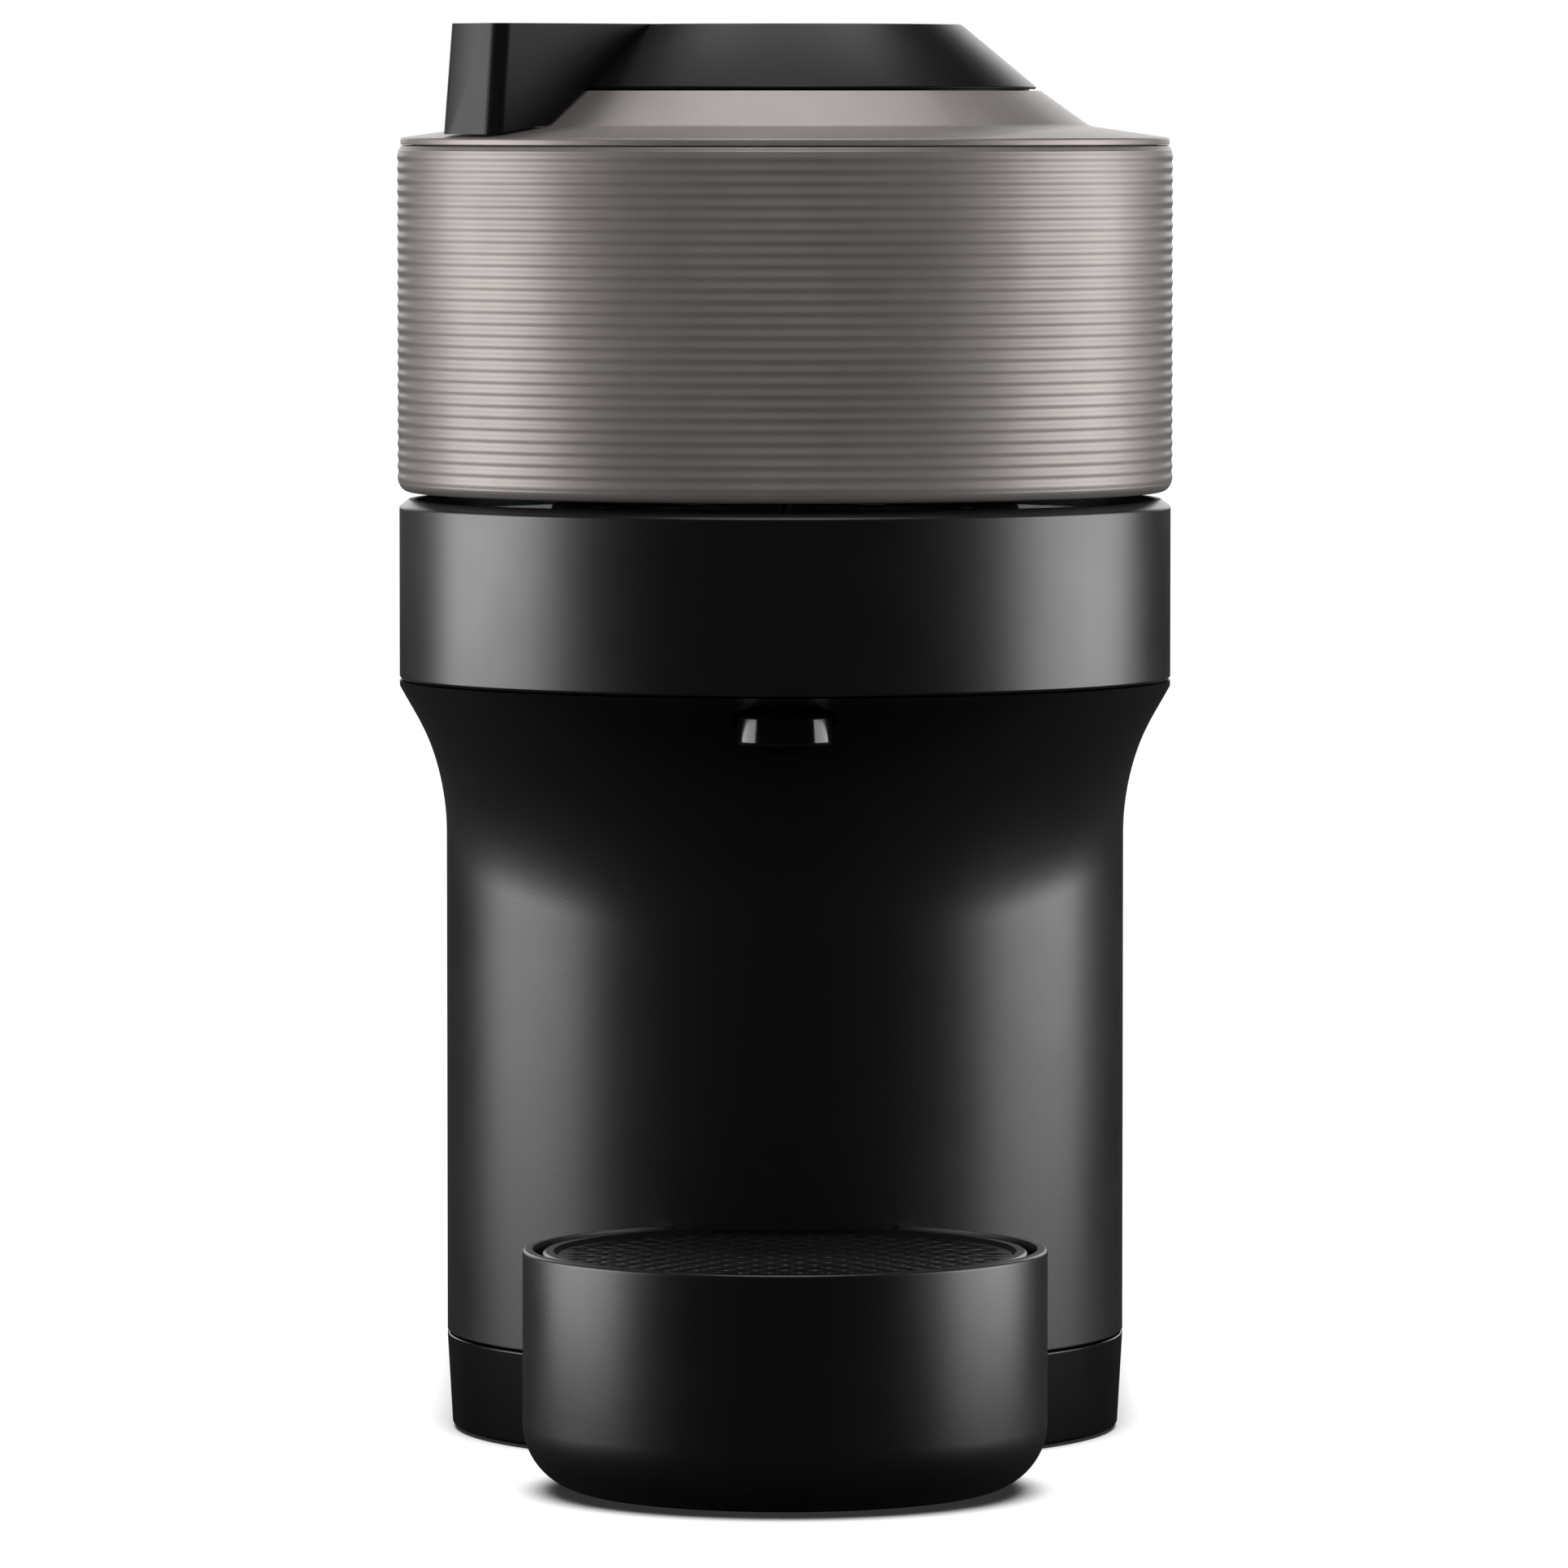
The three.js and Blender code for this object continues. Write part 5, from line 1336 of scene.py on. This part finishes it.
@dataclass
class WaterTank:
    """The clear tank at the back, with lugs for its lid."""

    wall: float = 2.4
    bow: float = 45.0
    corner: float = 8.0
    lug_inner: float = 40.0
    lug_outer: float = 46.0
    pivot_back: float = 5.0

    def outline(self, box: Box, inset_by: float) -> Outline:
        """Returns the tank's D-shaped outline, moved inwards."""
        half = box.radius - inset_by
        corner = max(self.corner - inset_by, 1.5)
        front = box.low.y + inset_by
        return [
            *arc(0, box.high.y - self.bow, half, self.bow - inset_by, 0, 180, 72),
            *arc(-half + corner, front + corner, corner, corner, 180, 270, 8),
            *arc(half - corner, front + corner, corner, corner, 270, 360, 8),
        ]

    def both_sides(self, grow: float) -> list[Pair]:
        """Returns each lug's two ends along X, moved out by grow: left, then right."""
        near, far = self.lug_inner - grow, self.lug_outer + grow
        return [(-far, -near), (near, far)]

    def front_block(self, front: float, back: float, ends: Pair, across: Pair = (-80, 80)) -> Draft:
        """Returns a block to cut the lid with, between two places along Y."""
        x0, x1 = across
        return Draft().prism([(x0, front), (x1, front), (x1, back), (x0, back)], 2, ends)

    def vessel(self) -> bpy.types.Object:
        """Makes the tank's wall, floor and the two lid lugs."""
        box, lid = Box.of("water_tank"), Box.of("tank_lid")
        top = lid.low.z + 1.7
        outer = slab(self.outline(box, 0.0), box.low.z, top, top=0.6, bottom=2.5)
        body = outer.build("tank_vessel", Finishes.SMOKED_CLEAR, 40)
        carve(body, slab(self.outline(box, self.wall), box.low.z + 3, top + 5, bottom=3.0))
        behind = box.low.y + self.pivot_back + 3
        corners = [
            (box.low.y + 0.6, top - 8, 0.5), (behind, top - 8, 0.5),
            (behind, box.high.z, 2.4), (box.low.y + 0.8, box.high.z, 2.4),
        ]
        for ends in self.both_sides(0.0):
            carve(body, Draft().prism(filleted(corners, 6), 0, ends), "UNION")
        valve = Box.of("tank_valve")
        carve(body, plug(valve.radius + 0.3, (box.low.z - 2, box.low.z + 4), valve.centre.y, 48))
        return finished(body, 0.25)

    def lid(self) -> bpy.types.Object:
        """Makes the lid: round upper edge, cuts for the lugs, a skirt under it and two pivot pegs."""
        box, tank = Box.of("tank_lid"), Box.of("water_tank")
        z1 = box.high.z
        z0 = z1 - 4.7
        outer = slab(self.outline(tank, 0.0), z0, z1, top=2.2, bottom=0.4)
        lid = outer.build("tank_cap", Finishes.SATIN_BLACK)
        ahead, pivot = tank.low.y - 6, tank.low.y + self.pivot_back
        whole = (z0 - 9, z1 + 9)
        carve(lid, self.front_block(ahead, box.low.y, whole))
        for ends in self.both_sides(0.7):
            carve(lid, self.front_block(ahead, pivot + 6, whole, ends))
        skirt = slab(self.outline(tank, 3.2), z0 - 4, z0 + 1).build("skirt", Finishes.SATIN_BLACK)
        carve(skirt, slab(self.outline(tank, 5.0), z0 - 9, z0 + 3))
        carve(skirt, self.front_block(ahead, pivot + 4.5, (z0 - 9, z0 + 3)))
        carve(lid, skirt, "UNION")
        pegs = Draft()
        for ends in self.both_sides(3):
            pegs.prism(arc(pivot, z0 + 2.7, 1.6, 1.6, 0, 360, 20)[:-1], 0, ends)
        carve(lid, pegs, "UNION")
        return finished(lid, 0.3)

    def make(self) -> None:
        """Makes and places the tank and its lid."""
        place(self.vessel(), "tank", "smoked_clear", "water_tank")
        place(self.lid(), "lid", "satin_black", "tank_lid")


# ---------------------------------------------------------------- carried-over parts


def dress_frame(record: dict) -> None:
    """Gives every CAD node that stays the finish of its slot.

    Args:
        record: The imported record, whose subparts name each node's slot.
    """
    for part in record["subparts"]:
        node = bpy.data.objects.get(part["node"])
        if node is None:
            continue
        finish = Finishes[part["material_slot"].upper()]
        node.data.materials.clear()
        node.data.materials.append(finish.value.material())


# ---------------------------------------------------------------- studio


@dataclass
class Studio:
    """Pale floor, two tall side boxes, a box above and the camera."""

    lens: float = 261.0
    distance: float = 1.996
    eye: float = 0.2372
    aside: float = -0.00018
    pitch_deg: float = 3.42
    side_power: float = 6.6
    top_power: float = 2.0
    crown_power: float = 2.4
    rear_power: float = 8.0
    fill_power: float = 15.0
    floor_half: float = 60.0
    # How far the painted contact shadow on the floor reaches, in metres.
    shadow_reach: float = 0.025

    def camera(self, y: float) -> None:
        """Places the camera straight ahead of the drum.

        Args:
            y: The drum's axis, in metres.
        """
        data = bpy.data.cameras.new("studio_camera")
        data.lens = self.lens
        data.sensor_width = 36.0
        data.clip_end = 200.0
        camera = bpy.data.objects.new("studio_camera", data)
        camera.location = (self.aside, y - self.distance, self.eye)
        camera.rotation_euler = (math.radians(90 - self.pitch_deg), 0.0, 0.0)
        bpy.context.scene.collection.objects.link(camera)
        bpy.context.scene.camera = camera

    def box_light(self, name: str, at: Vector, to: Vector, size: Pair, power: float) -> bpy.types.Object:
        """Adds a soft box and returns it.

        Args:
            name: The light's name.
            at: Its centre, in metres.
            to: What it faces.
            size: Its width and height.
            power: Its power in watts.
        """
        data = bpy.data.lights.new(name, "AREA")
        data.shape = "RECTANGLE"
        data.size, data.size_y = size
        data.energy = power
        light = bpy.data.objects.new(name, data)
        light.location = at
        light.rotation_euler = (to - at).to_track_quat("-Z", "Y").to_euler()
        bpy.context.scene.collection.objects.link(light)
        return light

    def lights(self, y: float) -> None:
        """Adds the soft boxes round the drum's axis at y."""
        aim = Vector((0.0, y, 0.13))
        for side, name in ((-1, "left_box"), (1, "right_box")):
            angle = math.radians(94)
            at = aim + Vector((side * math.sin(angle) * 0.75, -math.cos(angle) * 0.75, -0.01))
            self.box_light(name, at, aim, (0.62, 0.75), self.side_power)
        above = Vector((0.0, y - 0.25, 0.95))
        self.box_light("top_box", above, Vector((0.0, y, 0.25)), (0.5, 0.35), self.top_power)
        crown = Vector((0.0, y + 0.32, 0.98))
        self.box_light("crown_box", crown, Vector((0.0, y, 0.24)), (0.6, 0.3), self.crown_power)
        behind = Vector((0.0, y + 1.5, 0.55))
        self.box_light("rear_box", behind, aim, (1.6, 0.7), self.rear_power)
        ahead = Vector((0.0, y - 1.5, 0.5))
        fill = self.box_light("front_fill", ahead, aim, (1.2, 0.8), self.fill_power)
        fill.visible_glossy = False

    def floor(self) -> None:
        """Adds the white floor. Its glow for the camera carries a painted contact shadow, darkened by
        ambient occlusion near the parts, and the floor lights the black parts little.
        """
        data = bpy.data.meshes.new("floor")
        half = self.floor_half
        data.from_pydata(
            [(-half, -half, 0), (half, -half, 0), (half, half, 0), (-half, half, 0)], [], [[0, 1, 2, 3]]
        )
        floor = bpy.data.objects.new("floor", data)
        bpy.context.scene.collection.objects.link(floor)
        paper = bpy.data.materials.new("white_studio_paper")
        paper.use_nodes = True
        tree = paper.node_tree
        tree.nodes.clear()
        seen = add_node(tree, "ShaderNodeLightPath").outputs["Is Camera Ray"]
        # Painted contact shadow: ambient occlusion dims the floor's glow near the parts, and no lamp casts
        # it.
        inputs = {"Distance": self.shadow_reach}
        open_sky = add_node(tree, "ShaderNodeAmbientOcclusion", inputs, samples=24).outputs["AO"]
        inputs = {"Value": open_sky, "From Min": 0.28, "From Max": 0.62, "To Min": 0.03, "To Max": 1.1}
        painted_shadow = add_node(tree, "ShaderNodeMapRange", inputs).outputs["Result"]
        inputs = {0: seen, 6: linear("#383838"), 7: linear("#000000")}
        shade = add_node(tree, "ShaderNodeMix", inputs, data_type="RGBA").outputs[2]
        matt = add_node(tree, "ShaderNodeBsdfDiffuse", {"Color": shade}).outputs[0]
        glow = add_node(tree, "ShaderNodeMath", {0: seen, 1: painted_shadow}, operation="MULTIPLY").outputs[0]
        inputs = {"Color": linear("#ffffff"), "Strength": glow}
        lit = add_node(tree, "ShaderNodeEmission", inputs).outputs[0]
        both = add_node(tree, "ShaderNodeAddShader", {0: matt, 1: lit}).outputs[0]
        add_node(tree, "ShaderNodeOutputMaterial", {"Surface": both})
        data.materials.append(paper)

    def world(self) -> None:
        """Sets a white backdrop for the camera and a dim room for everything else."""
        world = bpy.data.worlds.new("studio_room")
        world.use_nodes = True
        tree = world.node_tree
        tree.nodes.clear()
        seen = add_node(tree, "ShaderNodeLightPath").outputs["Is Camera Ray"]
        inputs = {0: seen, 6: linear("#161617"), 7: linear("#ffffff")}
        toned = add_node(tree, "ShaderNodeMix", inputs, data_type="RGBA").outputs[2]
        sky = add_node(tree, "ShaderNodeBackground", {"Color": toned, "Strength": 1.0}).outputs[0]
        add_node(tree, "ShaderNodeOutputWorld", {"Surface": sky})
        bpy.context.scene.world = world

    def make(self, y: float) -> None:
        """Builds the whole studio round the drum's axis at y metres."""
        self.camera(y)
        self.lights(y)
        self.floor()
        self.world()
        bpy.context.scene.view_settings.view_transform = "Standard"


def main() -> None:
    """Builds the looks round the frame."""
    logging.basicConfig(level=logging.INFO, format="%(name)s: %(message)s")
    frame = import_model()
    axis = Box.of("lower_head_ring").centre.y * MM
    Studio().make(axis)
    dress_frame(frame["record"])
    plan = BodyPlan.read()
    Column(plan).make()
    DrumHead().make()
    LockLever().make()
    BrewChamber().make()
    DripTray(plan).make()
    RearDeck(plan).make()
    WaterTank().make()


if __name__ == "__main__":
    main()
